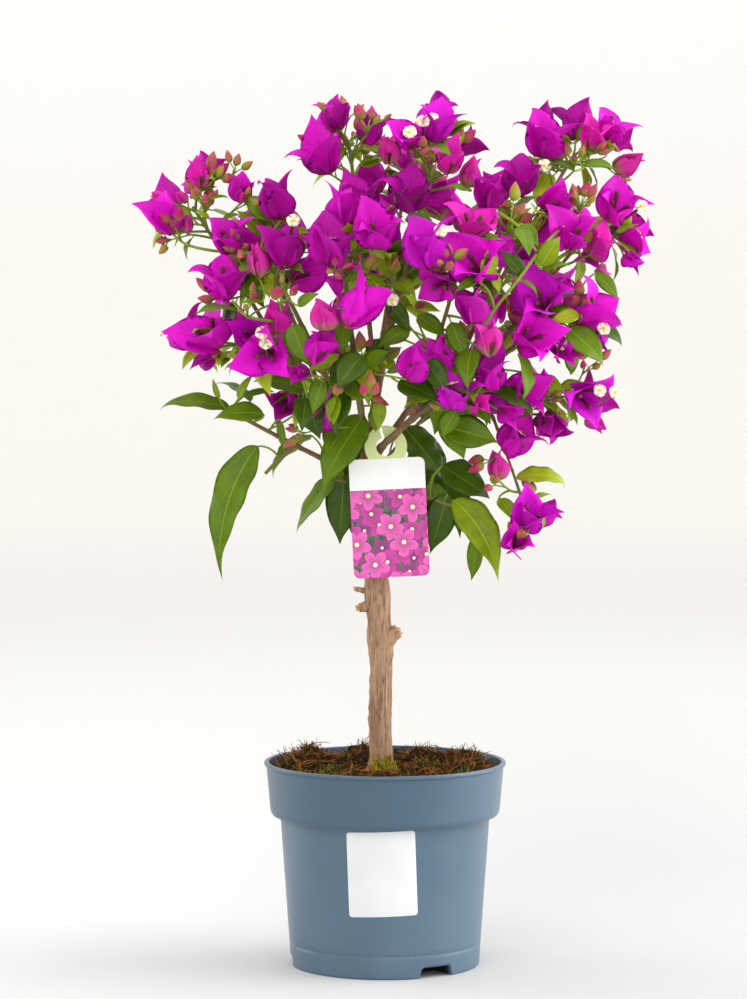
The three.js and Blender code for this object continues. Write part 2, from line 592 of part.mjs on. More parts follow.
function budShape(base, along, length) {
  const side = squareTo(along, UP);
  const other = along.clone().cross(side);
  const points = [base.clone(), base.clone().addScaledVector(along, length)];
  const faces = [];
  for (let k = 0; k < 4; k += 1) {
    const turn = (Math.PI * k) / 2;
    points.push(
      base.clone()
        .addScaledVector(along, length * 0.5)
        .addScaledVector(side, (Math.cos(turn) * bud.width) / 2)
        .addScaledVector(other, (Math.sin(turn) * bud.width) / 2),
    );
    const a = 2 + k;
    const b = 2 + ((k + 1) % 4);
    faces.push([0, b, a], [1, a, b]);
  }
  return { points, solid: solidFrom(points, faces) };
}

// A twig that carries a star of bracts or a leaf at its tip.
function twigShape(start, bend, end, radius, along, side, flower) {
  const curve = new THREE.QuadraticBezierCurve3(start, bend, end);
  const points = curve.getPoints(shoot.steps);
  const { rootRadius, tipRadius } = shoot;
  const taper = (share) => (share === 1 ? rootRadius : tipRadius + (radius - tipRadius) * share);
  const rows = ringsRound(points.toReversed(), taper, shoot.sides, side)
    .toReversed()
    .map(([first, second, third]) => [first, third, second]);
  if (flower) return { ...bloomShape(end, along, side, flower, rows), curve };
  return { points, solid: solidFrom(rows.flat(), tubeFaces(rows.length, shoot.sides, true)), curve };
}

// The tag's own space, which the leaves keep out of.
function tagSpace() {
  const { width, height, holeAboveTop, ringRadius, holeX, holeZ, plane, tilt, clear } = tag;
  const whole = height + holeAboveTop + ringRadius;
  const box = new THREE.BoxGeometry(width + 2 * clear, 2 * clear, whole + 2 * clear);
  box.translate(0, 0, (ringRadius - holeAboveTop - height) / 2).rotateY(radians(-tilt));
  return solidOf(box.translate(holeX, plane, holeZ));
}

// ---- growth of a mass -------------------------------------------------------------------------------------
function piece(shape) {
  const { min, max } = shape.solid.boundingBox();
  return { ...shape, box: new THREE.Box3(vector(min), vector(max)) };
}

function meet(a, b) {
  return a.box.intersectsBox(b.box) && !a.solid.intersect(b.solid).isEmpty();
}

// What a mass grows from and keeps clear of, and all that has grown in it so far.
function seedling(mass, index) {
  const cell = cells[index];
  const limbOfMass = limbs.find(({ name }) => name === `${mass.name}_stem`);
  const curve = new THREE.CatmullRomCurve3(massStems[index].points);
  const stem = piece({ solid: limbOfMass.solid, curve });
  const others = limbs.filter((other) => other !== limbOfMass).map(({ grown }) => piece({ solid: grown }));
  let entry = 0; // the share of the stem that is still outside the space
  while (entry < 0.95 && !inCell(cell, curve.getPointAt(entry))) entry += 0.05;
  const axis = curve.getTangentAt(1);
  const across = squareTo(axis, UP);
  return {
    mass, index, cell, stem, entry, axis, across, over: axis.clone().cross(across),
    droop: mass.droop ?? leaf.droop,
    leafWidth: mass.leafWidth ?? leaf.width,
    obstacles: [...others, piece({ solid: tagSpace() })],
    pieces: [stem],
    shoots: [],
  };
}

function fits(grown, shape, parent) {
  return shape.points.every((point) => inCell(grown.cell, point))
    && grown.obstacles.concat(grown.pieces).every((other) => other === parent || !meet(shape, other));
}

// A direction for a shoot: share runs from straight on from the stem (0) to back along it (1), and turn
// goes round it.
function shootDirection({ axis, across, over }, share, turn) {
  const polar = Math.acos(1 - share * shoot.spread);
  return axis.clone().multiplyScalar(Math.cos(polar))
    .addScaledVector(across, Math.sin(polar) * Math.cos(turn))
    .addScaledVector(over, Math.sin(polar) * Math.sin(turn));
}

// Leaves face the sky, and those that hang face away from the middle of the plant.
function facingOf(point, droop) {
  return new THREE.Vector3(point.x * leaf.sideways, point.y - leaf.turnPlane, 0).normalize()
    .multiplyScalar(0.3 + droop)
    .addScaledVector(UP, 1 - droop);
}

// The star or the leaf at the tip of a shoot, before its twig reaches it.
function tipShape(grown, end, along, side, size, flower) {
  if (flower) return bloomShape(end, along, side, flower);
  const base = end.clone().addScaledVector(along, -shoot.tipRadius);
  return leafShape(base, along, facingOf(end, grown.droop), grown.mass.leaf * size, grown.leafWidth);
}

// One attempt at a shoot: where it starts and heads for, then the furthest place along that way where it fits.
function tryShoot(grown, k, attempt, parent, flowers) {
  const { mass, index, cell, stem, entry, droop } = grown;
  const random = chance(index * seeds.mass + k * seeds.shoot + attempt * seeds.shootTry + seeds.shootBase);
  const wander = attempt / shoot.attempts;
  const share = THREE.MathUtils.clamp((k + 0.5) / mass.shoots + random(-1, 1) * wander, 0, 1);
  const spiral = k * GOLDEN + index + random(-1, 1) * shoot.turnStray * wander;
  const direction = shootDirection(grown, share, spiral);
  const at = parent === stem
    ? shoot.highest - shoot.span * share * (1 - entry)
    : random(shoot.sideFrom, shoot.sideTo);
  const size = random(shoot.smallest, shoot.largest) * (1 - shoot.shrink * wander);
  const flower = flowers && { length: mass.bract * size, open: bloom.open + random(-1, 1) * bloom.openStray };
  const turn = random(0, 2 * Math.PI);
  const stray = new THREE.Vector3(random(-1, 1), random(-1, 1), random(-1, 1)).multiplyScalar(shoot.stray);
  const along = direction.clone().add(stray).normalize();
  if (!flower) { // a leaf that hangs starts as high in the space as it reaches low
    along.lerp(new THREE.Vector3(along.x * leaf.hangOut, along.y * leaf.hangOut, -1), droop).normalize();
    direction.lerp(UP, droop).normalize();
  }
  const side = roundTwig(along, turn);
  const start = parent.curve.getPointAt(at);
  const radius = parent === stem ? shoot.radius : shoot.sideRadius;
  const reach = cellReach(cell, direction);
  for (const part of shoot.parts) {
    const end = cell.centre.clone().addScaledVector(direction, reach * part);
    const shape = tipShape(grown, end, along, side, size, flower);
    if (!shape.points.every((point) => inCell(cell, point))) continue;
    const runOn = shoot.bend * start.distanceTo(end);
    const bend = start.clone().addScaledVector(parent.curve.getTangentAt(at), runOn);
    const twig = piece(twigShape(start, bend, end, radius, along, side, flower));
    const tip = { ...piece(shape), onTwig: Boolean(flower) }; // a star is part of its twig's own solid
    if (fits(grown, tip, twig) && fits(grown, twig, parent)) return { twig, tip };
  }
  return null;
}

function growShoots(grown) {
  const { mass, stem, pieces, shoots } = grown;
  let blooms = 0;
  for (let k = 0; k < Math.max(mass.shoots, mass.blooms); k += 1) {
    const parent = k < mass.shoots || !shoots.length ? stem : shoots[k % shoots.length];
    const flowers = blooms < mass.blooms;
    let made = null;
    for (let attempt = 0; !made && attempt < shoot.attempts; attempt += 1) {
      made = tryShoot(grown, k, attempt, parent, flowers);
    }
    if (!made) continue;
    pieces.push(made.twig, made.tip);
    shoots.push(made.twig);
    if (flowers) blooms += 1;
  }
}

// One attempt at a leaf or a bud on the side of a shoot.
function tryOrgan(grown, k, attempt, parent, isBud) {
  const { mass, index, droop, leafWidth } = grown;
  const random = chance(index * seeds.mass + k * seeds.organ + attempt * seeds.organTry + seeds.organBase);
  const { lowest, highest, forward } = isBud ? bud : leaf;
  const at = random(lowest, highest);
  const point = parent.curve.getPoint(at);
  const onward = parent.curve.getTangent(at);
  const out = roundTwig(onward, k * GOLDEN * 2 + random(-1, 1) * leaf.turnStray * attempt);
  const outward = point.clone().sub(crownMiddle).normalize();
  const hang = new THREE.Vector3(outward.x * leaf.hangOut, outward.y * leaf.hangOut, -1);
  const along = out.addScaledVector(onward, forward).normalize().lerp(hang, isBud ? 0 : droop).normalize();
  const base = point.clone().addScaledVector(along, -leaf.rootDepth);
  const size = random(leaf.smallest, leaf.largest);
  if (isBud) return piece(budShape(base, along, bud.length * size));
  const shrink = 1 - (leaf.shrink * attempt) / leaf.attempts;
  return piece(leafShape(base, along, facingOf(point, droop), mass.leaf * size * shrink, leafWidth));
}

function growOrgans(grown) {
  const { mass, pieces, shoots } = grown;
  if (!shoots.length) return;
  for (let k = 0; k < mass.leaves + mass.buds; k += 1) {
    const isBud = k >= mass.leaves;
    const parent = shoots[k % shoots.length];
    for (let attempt = 0; attempt < leaf.attempts; attempt += 1) {
      const organ = tryOrgan(grown, k, attempt, parent, isBud);
      if (!fits(grown, organ, parent)) continue;
      pieces.push(organ);
      break;
    }
  }
}

function massSolid(mass, index) {
  const grown = seedling(mass, index);
  growShoots(grown);
  growOrgans(grown);
  const fused = grown.pieces.filter(({ onTwig }) => !onTwig).map(({ solid }) => solid);
  return mainBody(fused.reduce((whole, part) => whole.add(part)).asOriginal().simplify(JOIN_TOLERANCE));
}

// ---- tag --------------------------------------------------------------------------------------------------
// A plate that hangs by its split ring on a bough, drawn round the middle of the ring's hole.
function tagGeometry() {
  const { width, height, corner, ringRadius, holeRadius, holeAboveTop } = tag;
  const right = width / 2;
  const top = -holeAboveTop;
  const bottom = top - height;
  const slit = radians(tag.slitAngle);
  const outerHalf = Math.asin(tag.slit / 2 / ringRadius);
  const innerHalf = Math.asin(tag.slit / 2 / holeRadius);
  const join = Math.asin(holeAboveTop / ringRadius); // where the ring runs into the plate's top edge
  const shape = new THREE.Shape();
  shape.absarc(0, 0, ringRadius, slit + outerHalf, Math.PI + join, false);
  shape.absarc(-right + corner, top - corner, corner, Math.PI / 2, Math.PI, false);
  shape.absarc(-right + corner, bottom + corner, corner, Math.PI, 1.5 * Math.PI, false);
  shape.absarc(right - corner, bottom + corner, corner, 1.5 * Math.PI, 2 * Math.PI, false);
  shape.absarc(right - corner, top - corner, corner, 0, Math.PI / 2, false);
  shape.absarc(0, 0, ringRadius, -join, slit - outerHalf, false);
  shape.absarc(0, 0, holeRadius, slit - innerHalf, slit + innerHalf, true);
  shape.closePath();
  const plateForm = { depth: tag.thickness, bevelEnabled: false, curveSegments: 3 };
  return geometryOf(solidOf(new THREE.ExtrudeGeometry(shape, plateForm)));
}

// ---- the plant --------------------------------------------------------------------------------------------
const plant = new THREE.Group();
plant.name = 'potted_bougainvillea';

function addPiece(name, geometry, color, roughness) {
  const mesh = new THREE.Mesh(geometry, new THREE.MeshStandardMaterial({ color, roughness, metalness: 0 }));
  mesh.name = name;
  plant.add(mesh);
  return mesh;
}

addPiece('pot', geometryOf(potSolid()), colours.pot, 0.45);
addPiece('soil', geometryOf(soilSolid()), colours.soil, 0.95);
limbs.filter(({ name }) => name === 'trunk' || name in ways).forEach(({ name, solid }) => {
  addPiece(name, geometryOf(solid), name === 'trunk' ? colours.bark : colours.bough, 0.85);
});
masses.forEach((mass, i) => {
  const colour = mass.blooms ? colours.bloom : colours.leaf;
  addPiece(`mass_${mass.name}`, geometryOf(massSolid(mass, i)), colour, 0.6);
});

const hangTag = addPiece('hang_tag', tagGeometry(), colours.tag, 0.4);
hangTag.rotation.set(Math.PI / 2, 0, 0);
const tagHanger = new THREE.Group(); // the middle of the ring's hole, where the tag swings round the bough
tagHanger.position.set(tag.holeX, tag.plane, tag.holeZ);
tagHanger.rotation.set(0, radians(-tag.tilt), 0);
tagHanger.add(hangTag);
plant.add(tagHanger);

export default plant;
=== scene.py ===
"""Looks of a potted bougainvillea standard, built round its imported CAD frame. Blender 4.5, metres, +Z up.

The plant grows here by the rule of the CAD source, from the same named sizes in millimetres: a bare stem,
boughs to the middle of each mass of the crown, and in each mass shoots in a spiral. Here the shoots go on
into finer twigs with leaves, stars of three bracts, flower tubes and buds. The words used below: a star is
three bracts round their flower tubes, a mass is one part of the crown, and a garden is the organs of several
masses.
"""

import math
from itertools import combinations

import bmesh
import bpy
import numpy as np
from mathutils import Matrix, Vector, noise


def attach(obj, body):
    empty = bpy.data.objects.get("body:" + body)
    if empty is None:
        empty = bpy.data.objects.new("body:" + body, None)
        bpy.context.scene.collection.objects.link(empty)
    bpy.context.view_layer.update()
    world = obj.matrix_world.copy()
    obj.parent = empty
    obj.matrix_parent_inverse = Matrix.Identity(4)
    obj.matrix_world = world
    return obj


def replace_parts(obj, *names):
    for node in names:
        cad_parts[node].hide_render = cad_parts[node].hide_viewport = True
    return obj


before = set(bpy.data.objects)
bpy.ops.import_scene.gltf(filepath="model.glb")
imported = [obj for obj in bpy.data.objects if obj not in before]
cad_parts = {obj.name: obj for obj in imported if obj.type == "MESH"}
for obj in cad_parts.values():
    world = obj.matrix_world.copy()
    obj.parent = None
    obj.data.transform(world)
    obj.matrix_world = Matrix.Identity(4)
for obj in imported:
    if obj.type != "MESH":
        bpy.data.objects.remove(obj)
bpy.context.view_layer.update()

MM = 0.001
UP = Vector((0, 0, 1))
FULL_TURN = 2 * math.pi
GOLDEN = math.pi * (3 - math.sqrt(5))  # the golden angle, by which shoots and leaves follow each other
GAP = 0.3  # between neighbouring pieces of the source
TINY = 1e-6

# ---- sizes of the source, in millimetres ------------------------------------------------------------------
POT = dict(height=129, foot=59.6, waist=66.2, wall=1.6, edge=0.6, step=3, collar_bottom=96, collar=72.4,
           collar_top=75, lip=76.4, lip_height=2.6)
NOTCH = dict(count=3, first=32.5, width=25, top_width=21, height=7, depth=22)
SOIL = dict(level=119.5, crest=121.5, bump=5.5, slope=14, stand=13)
TRUNK = dict(radius=6.9, flare=9.6, flare_height=9, head=8.2, head_height=45, ribs=3, ripple=0.45,
             ripple_length=31,
             line=[(-2.2, 0, 121.8), (-2.6, -0.6, 155), (-2.6, 0.4, 197), (-5.9, 0, 242), (-11.4, 0, 325)])
STUBS = [dict(height=235, angle=178, length=6.2, radius=1.5, rise=12),
         dict(height=228.5, angle=190, length=5.2, radius=3.0, rise=-12),
         dict(height=204, angle=-8, length=6.6, radius=4.2, rise=34)]
TAG = dict(width=47.5, height=74.6, corner=4, thickness=0.6, ring=13.3, hole=6, hole_above=7.2, slit=1.6,
           slit_angle=104, plane=-16, hole_x=0.4, hole_z=328.6, tilt=2.7)
STEM = dict(radius=1.7, tip=1.1, lift=4)
SHOOT = dict(radius=1.0, side_radius=0.9, tip=0.62, spread=1.85, bend=0.35, highest=0.96, span=0.5)
LEAF = dict(width=0.52, droop=0.2, hang_out=0.3, turn_plane=25, sideways=0.35)
CROWN_MIDDLE = Vector((5, 0, 420))

# Masses of the crown: name, middle, half-widths, shoots, blooms, leaves, buds, leaf and bract length, and
# then what differs from the usual leaf: its width, and how far it droops.
MASS_ROWS = [
    ("far_left", (-120, -8, 478), (49, 35, 36), 5, 5, 5, 5, 24, 28, {}),
    ("left_high", (-75, -34, 451), (51, 42, 46), 7, 7, 9, 2, 36, 32, {}),
    ("left_low", (-92, -22, 393), (54, 42, 33), 6, 5, 8, 1, 40, 34, {}),
    ("top_left", (-22, 4, 514), (39, 38, 45), 6, 6, 6, 3, 32, 32, {}),
    ("top_mid", (31, -12, 514), (35, 38, 44), 5, 5, 6, 2, 32, 32, {}),
    ("top_right", (118, 4, 510), (53, 40, 41), 7, 7, 7, 3, 30, 32, {}),
    ("right_high", (83, -30, 468), (47, 42, 41), 6, 6, 8, 1, 38, 32, {}),
    ("right_far", (131, 8, 466), (38, 44, 48), 6, 6, 7, 2, 34, 32, {}),
    ("right_mid", (105, -20, 408), (49, 44, 38), 8, 8, 9, 1, 40, 34, {}),
    ("right_low", (104, -4, 360), (48, 38, 34), 6, 6, 8, 1, 38, 33, {}),
    ("spray_low", (89, -15, 285), (29, 28, 31), 3, 3, 2, 2, 30, 28, {}),
    ("leaves_right", (48, -12, 289), (32, 34, 50), 7, 0, 8, 0, 54, 0, dict(width=0.5, droop=0.75)),
    ("twig_left", (-100, -5, 352), (50, 32, 26), 4, 0, 8, 0, 46, 0, dict(droop=0.25)),
    ("hang_left", (-92, 3, 291), (28, 23, 50), 1, 0, 1, 0, 84, 0, dict(width=0.36, droop=0.93)),
    ("leaves_left", (-38, -15, 309), (30, 34, 51), 5, 0, 6, 0, 52, 0, dict(width=0.5, droop=0.7)),
    ("front_left", (-26, -68, 446), (48, 42, 49), 8, 8, 9, 2, 38, 35, {}),
    ("front_right", (46, -68, 444), (45, 42, 49), 8, 8, 9, 1, 40, 35, {}),
    ("front_low", (-20, -48, 377), (51, 46, 40), 6, 2, 19, 1, 42, 26, {}),
    ("front_deep", (49, -48, 367), (48, 46, 41), 5, 5, 11, 0, 42, 31, {}),
    ("middle", (8, 4, 436), (42, 38, 44), 5, 5, 9, 0, 40, 33, {}),
    ("back_top", (12, 56, 488), (46, 38, 38), 5, 5, 5, 1, 34, 33, {}),
    ("back_left", (-72, 48, 440), (48, 44, 48), 6, 6, 9, 1, 38, 35, {}),
    ("back_mid", (4, 86, 432), (47, 42, 48), 6, 6, 9, 1, 38, 35, {}),
    ("back_right", (82, 62, 436), (48, 44, 46), 6, 6, 9, 1, 38, 35, {}),
    ("back_low_left", (-48, 52, 368), (46, 42, 38), 3, 3, 10, 0, 46, 33, {}),
    ("back_low_right", (44, 56, 362), (48, 44, 40), 4, 4, 10, 0, 46, 33, {}),
    ("leaves_back", (6, 44, 310), (38, 29, 40), 4, 0, 6, 0, 50, 0, dict(droop=0.7)),
]
# Boughs: name, parent, start (a height on the stem, or a share of the parent bough), radius, lift, mass, and
# points between.
BOUGH_ROWS = [
    ("bough_right", "trunk", 317, 2.4, 0, "right_mid",
     [(-4, -8, 326.5), (0.2, -16, 331), (4, -24, 334.5), (16, -31, 346)]),
    ("bough_left", "trunk", 320, 2.5, 8, "left_low", []),
    ("bough_twig_left", "trunk", 306, 2.0, -2, "twig_left", []),
    ("bough_front_left", "trunk", 324, 2.3, -8, "front_left", []),
    ("bough_front_right", "bough_right", 0.42, 1.8, -6, "front_right", []),
    ("bough_top", "trunk", 324, 2.6, -4, "middle", []),
    ("bough_back", "trunk", 321, 2.5, 6, "back_mid", []),
    ("bough_back_right", "trunk", 314, 2.3, 8, "back_right", []),
    ("bough_back_left", "trunk", 311, 2.3, 8, "back_left", []),
    ("bough_left_high", "bough_left", 0.45, 1.8, 5, "left_high", []),
    ("bough_far_left", "bough_left", 0.8, 1.6, 6, "far_left", []),
    ("bough_top_left", "bough_top", 0.5, 1.8, 4, "top_left", []),
    ("bough_top_mid", "bough_top", 0.75, 1.7, 2, "top_mid", []),
    ("bough_right_high", "bough_right", 0.6, 1.9, -6, "right_high", []),
    ("bough_right_far", "bough_right", 0.85, 1.7, 4, "right_far", []),
    ("bough_top_right", "bough_right_high", 0.6, 1.6, 3, "top_right", []),
    ("bough_right_low", "bough_right", 0.7, 1.6, -4, "right_low", []),
    ("bough_spray", "bough_right_low", 0.6, 1.2, 5, "spray_low", []),
    ("bough_back_top", "bough_back", 0.6, 1.8, 2, "back_top", []),
]
BOUGH_TIP = 0.68  # a bough's tip radius, as a share of its start radius
HEAD_STEMS = dict(leaves_left=298, leaves_right=303, leaves_back=296, front_low=316, back_low_left=317,
                  back_low_right=306)
BOUGH_STEMS = dict(hang_left=("bough_twig_left", 0.8, 0.5), front_deep=("bough_right", 0.4, 1))


# ---- small tools ------------------------------------------------------------------------------------------
CHANCE = dict(factor=1664525, addend=1013904223, span=2**32)  # a linear congruential generator


def chance(seed):
    """A fixed stream of chance for each seed, the same as in the CAD source."""
    state = seed % CHANCE["span"]

    def step():
        nonlocal state
        state = (state * CHANCE["factor"] + CHANCE["addend"]) % CHANCE["span"]
        return state / CHANCE["span"]

    step()
    step()
    return lambda low, high: low + (high - low) * step()


def square_to(axis, wanted):
    """A direction square to axis, as near as can be to a wanted one."""
    side = wanted - axis * wanted.dot(axis)
    if side.length_squared < TINY:
        side = Vector((axis.y, axis.z, axis.x)).cross(axis)
    return side.normalized()


def turned(side, other, turn):
    """The direction at a turn from side towards other."""
    return side * math.cos(turn) + other * math.sin(turn)


def round_twig(along, turn):
    """A direction square to a twig, at a turn round it."""
    side = square_to(along, UP)
    return turned(side, along.cross(side), turn)


def stray(random):
    """A random direction and length within a cube of half-width 1."""
    return Vector((random(-1, 1), random(-1, 1), random(-1, 1)))


def level_stray(random):
    return Vector((random(-1, 1), random(-1, 1), 0))


def smoothstep(x, low, high):
    t = np.clip((x - low) / (high - low), 0, 1)
    return t * t * (3 - 2 * t)


class Way:
    """A smooth line through space, measured by shares of its length."""

    def __init__(self, points):
        self.points = [Vector(p) for p in points]
        steps = [(b - a).length for a, b in zip(self.points, self.points[1:])]
        self.marks = np.concatenate([[0], np.cumsum(steps)])
        self.length = self.marks[-1]

    def at(self, share):
        """The point at a share of the length."""
        place = min(max(share, 0), 1) * self.length
        i = min(int(np.searchsorted(self.marks, place, side="right")) - 1, len(self.points) - 2)
        part = (place - self.marks[i]) / (self.marks[i + 1] - self.marks[i])
        return self.points[i].lerp(self.points[i + 1], part)

    def along(self, share):
        """The direction of the line at a share of its length."""
        step = 0.02
        return (self.at(min(share + step, 1)) - self.at(max(share - step, 0))).normalized()

    def stretch(self, start, end, steps):
        """Even points from one share of the length to another."""
        return [self.at(start + (end - start) * i / steps) for i in range(steps + 1)]


def arch(start, middle, end, steps=24):
    """A quadratic Bezier curve."""
    shares = [i / steps for i in range(steps + 1)]
    return Way([start * (1 - t) ** 2 + middle * 2 * t * (1 - t) + end * t * t for t in shares])


def spline(points, steps=12):
    """A centripetal Catmull-Rom curve through the points."""
    points = [Vector(p) for p in points]
    knots = [points[0] * 2 - points[1], *points, points[-1] * 2 - points[-2]]
    line = []
    for a, b, c, d in zip(knots, knots[1:], knots[2:], knots[3:]):
        t1 = math.sqrt((b - a).length)
        t2 = t1 + math.sqrt((c - b).length)
        t3 = t2 + math.sqrt((d - c).length)
        for i in range(steps):
            t = t1 + (t2 - t1) * i / steps
            ab = a.lerp(b, t / t1)
            bc = b.lerp(c, (t - t1) / (t2 - t1))
            cd = c.lerp(d, (t - t2) / (t3 - t2))
            abc = ab.lerp(bc, t / t2)
            bcd = bc.lerp(cd, (t - t1) / (t3 - t1))
            line.append(abc.lerp(bcd, (t - t1) / (t2 - t1)))
    return Way([*line, points[-1]])


def new_piece(name, points, faces, materials, smooth=None, marks=None, grown=None):
    """A piece of the scene, from points in millimetres. marks gives each face its material."""
    mesh = bpy.data.meshes.new(name)
    mesh.from_pydata((np.asarray(points, float) * MM).tolist(), [], faces)
    if marks:
        mesh.polygons.foreach_set("material_index", marks)
    mesh.polygons.foreach_set("use_smooth", smooth or [True] * len(faces))
    if grown is not None:
        mesh.attributes.new("grown", "FLOAT_VECTOR", "POINT").data.foreach_set("vector", grown.ravel())
    for material in materials:
        mesh.materials.append(material)
    mesh.update()
    piece = bpy.data.objects.new(name, mesh)
    bpy.context.scene.collection.objects.link(piece)
    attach(piece, "root")
    return piece


class Pile:
    """Many small meshes of one kind, joined into pieces of a limited size."""

    LIMIT = 180000  # triangles in a piece

    def __init__(self, name, slot, materials):
        self.name, self.slot, self.materials = name, slot, materials
        self.index = {m.name: i for i, m in enumerate(materials)}
        self.parts = []

    def add(self, points, faces, material, grown=None, smooth=True):
        """points is an n by 3 array, and material a name or a list of one name for each face."""
        names = material if isinstance(material, list) else [material] * len(faces)
        self.parts.append((np.asarray(points, float), faces, [self.index[n] for n in names], grown, smooth))

    def build(self, replaced=()):
        """The finished pieces. The first stands for the CAD nodes that the pile replaces."""
        groups = [[]]
        size = 0
        for part in self.parts:
            triangles = sum(len(f) - 2 for f in part[1])
            if size + triangles > self.LIMIT:
                groups.append([])
                size = 0
            groups[-1].append(part)
            size += triangles
        made = []
        for number, group in enumerate(groups):
            name = self.name if len(groups) == 1 else f"{self.name}_{number + 1}"
            made.append(self.piece(name, group))
        if replaced:
            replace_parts(made[0], *replaced)
        return made

    def piece(self, name, group):
        faces, marks, smooth = [], [], []
        start = 0
        for points, part_faces, part_marks, _, part_smooth in group:
            faces += [[start + i for i in face] for face in part_faces]
            marks += part_marks
            smooth += [part_smooth] * len(part_faces)
            start += len(points)
        points = np.concatenate([part[0] for part in group])
        numbers = [part[3] for part in group]
        grown = None if any(n is None for n in numbers) else np.concatenate(numbers)
        return new_piece(name, points, faces, self.materials, smooth, marks, grown)


def circle(radius, sides):
    """The x and y of points round a circle."""
    turns = [FULL_TURN * k / sides for k in range(sides)]
    return [(radius * math.cos(t), radius * math.sin(t)) for t in turns]


def ring_faces(rings, sides, first=0, flipped=False):
    """The faces between rings of points that follow each other."""
    faces = []
    for i in range(rings - 1):
        for k in range(sides):
            a, b = first + i * sides + k, first + i * sides + (k + 1) % sides
            faces.append((a, a + sides, b + sides, b) if flipped else (a, b, b + sides, a + sides))
    return faces


def fan(middle, first, sides, flipped=False):
    """The triangles between a point and a ring."""
    edges = [(first + k, first + (k + 1) % sides) for k in range(sides)]
    return [(middle, b, a) if flipped else (middle, a, b) for a, b in edges]


def tube(points, radius_at, sides, relief=None):
    """Points and faces of a closed tube round a line.

    radius_at takes a share of the line. relief may add to the radius, by the share, the turn and the place.
    """
    end_bulge = 0.6  # as a share of the radius at the end
    points = [Vector(p) for p in points]
    count = len(points)
    side = Vector((1, 0, 0))
    rings = []
    for i, point in enumerate(points):
        along = (points[min(i + 1, count - 1)] - points[max(i - 1, 0)]).normalized()
        side = square_to(along, side)
        other = along.cross(side)
        share = i / (count - 1)
        for k in range(sides):
            turn = FULL_TURN * k / sides
            out = turned(side, other, turn)
            radius = radius_at(share)
            if relief:
                radius += relief(share, turn, point + out * radius)
            rings.append(point + out * radius)
    rings += [points[0], points[-1] + (points[-1] - points[-2]).normalized() * radius_at(1) * end_bulge]
    foot, tip = len(rings) - 2, len(rings) - 1
    faces = ring_faces(count, sides) + fan(foot, 0, sides, True) + fan(tip, foot - sides, sides)
    return np.array([p[:] for p in rings]), faces


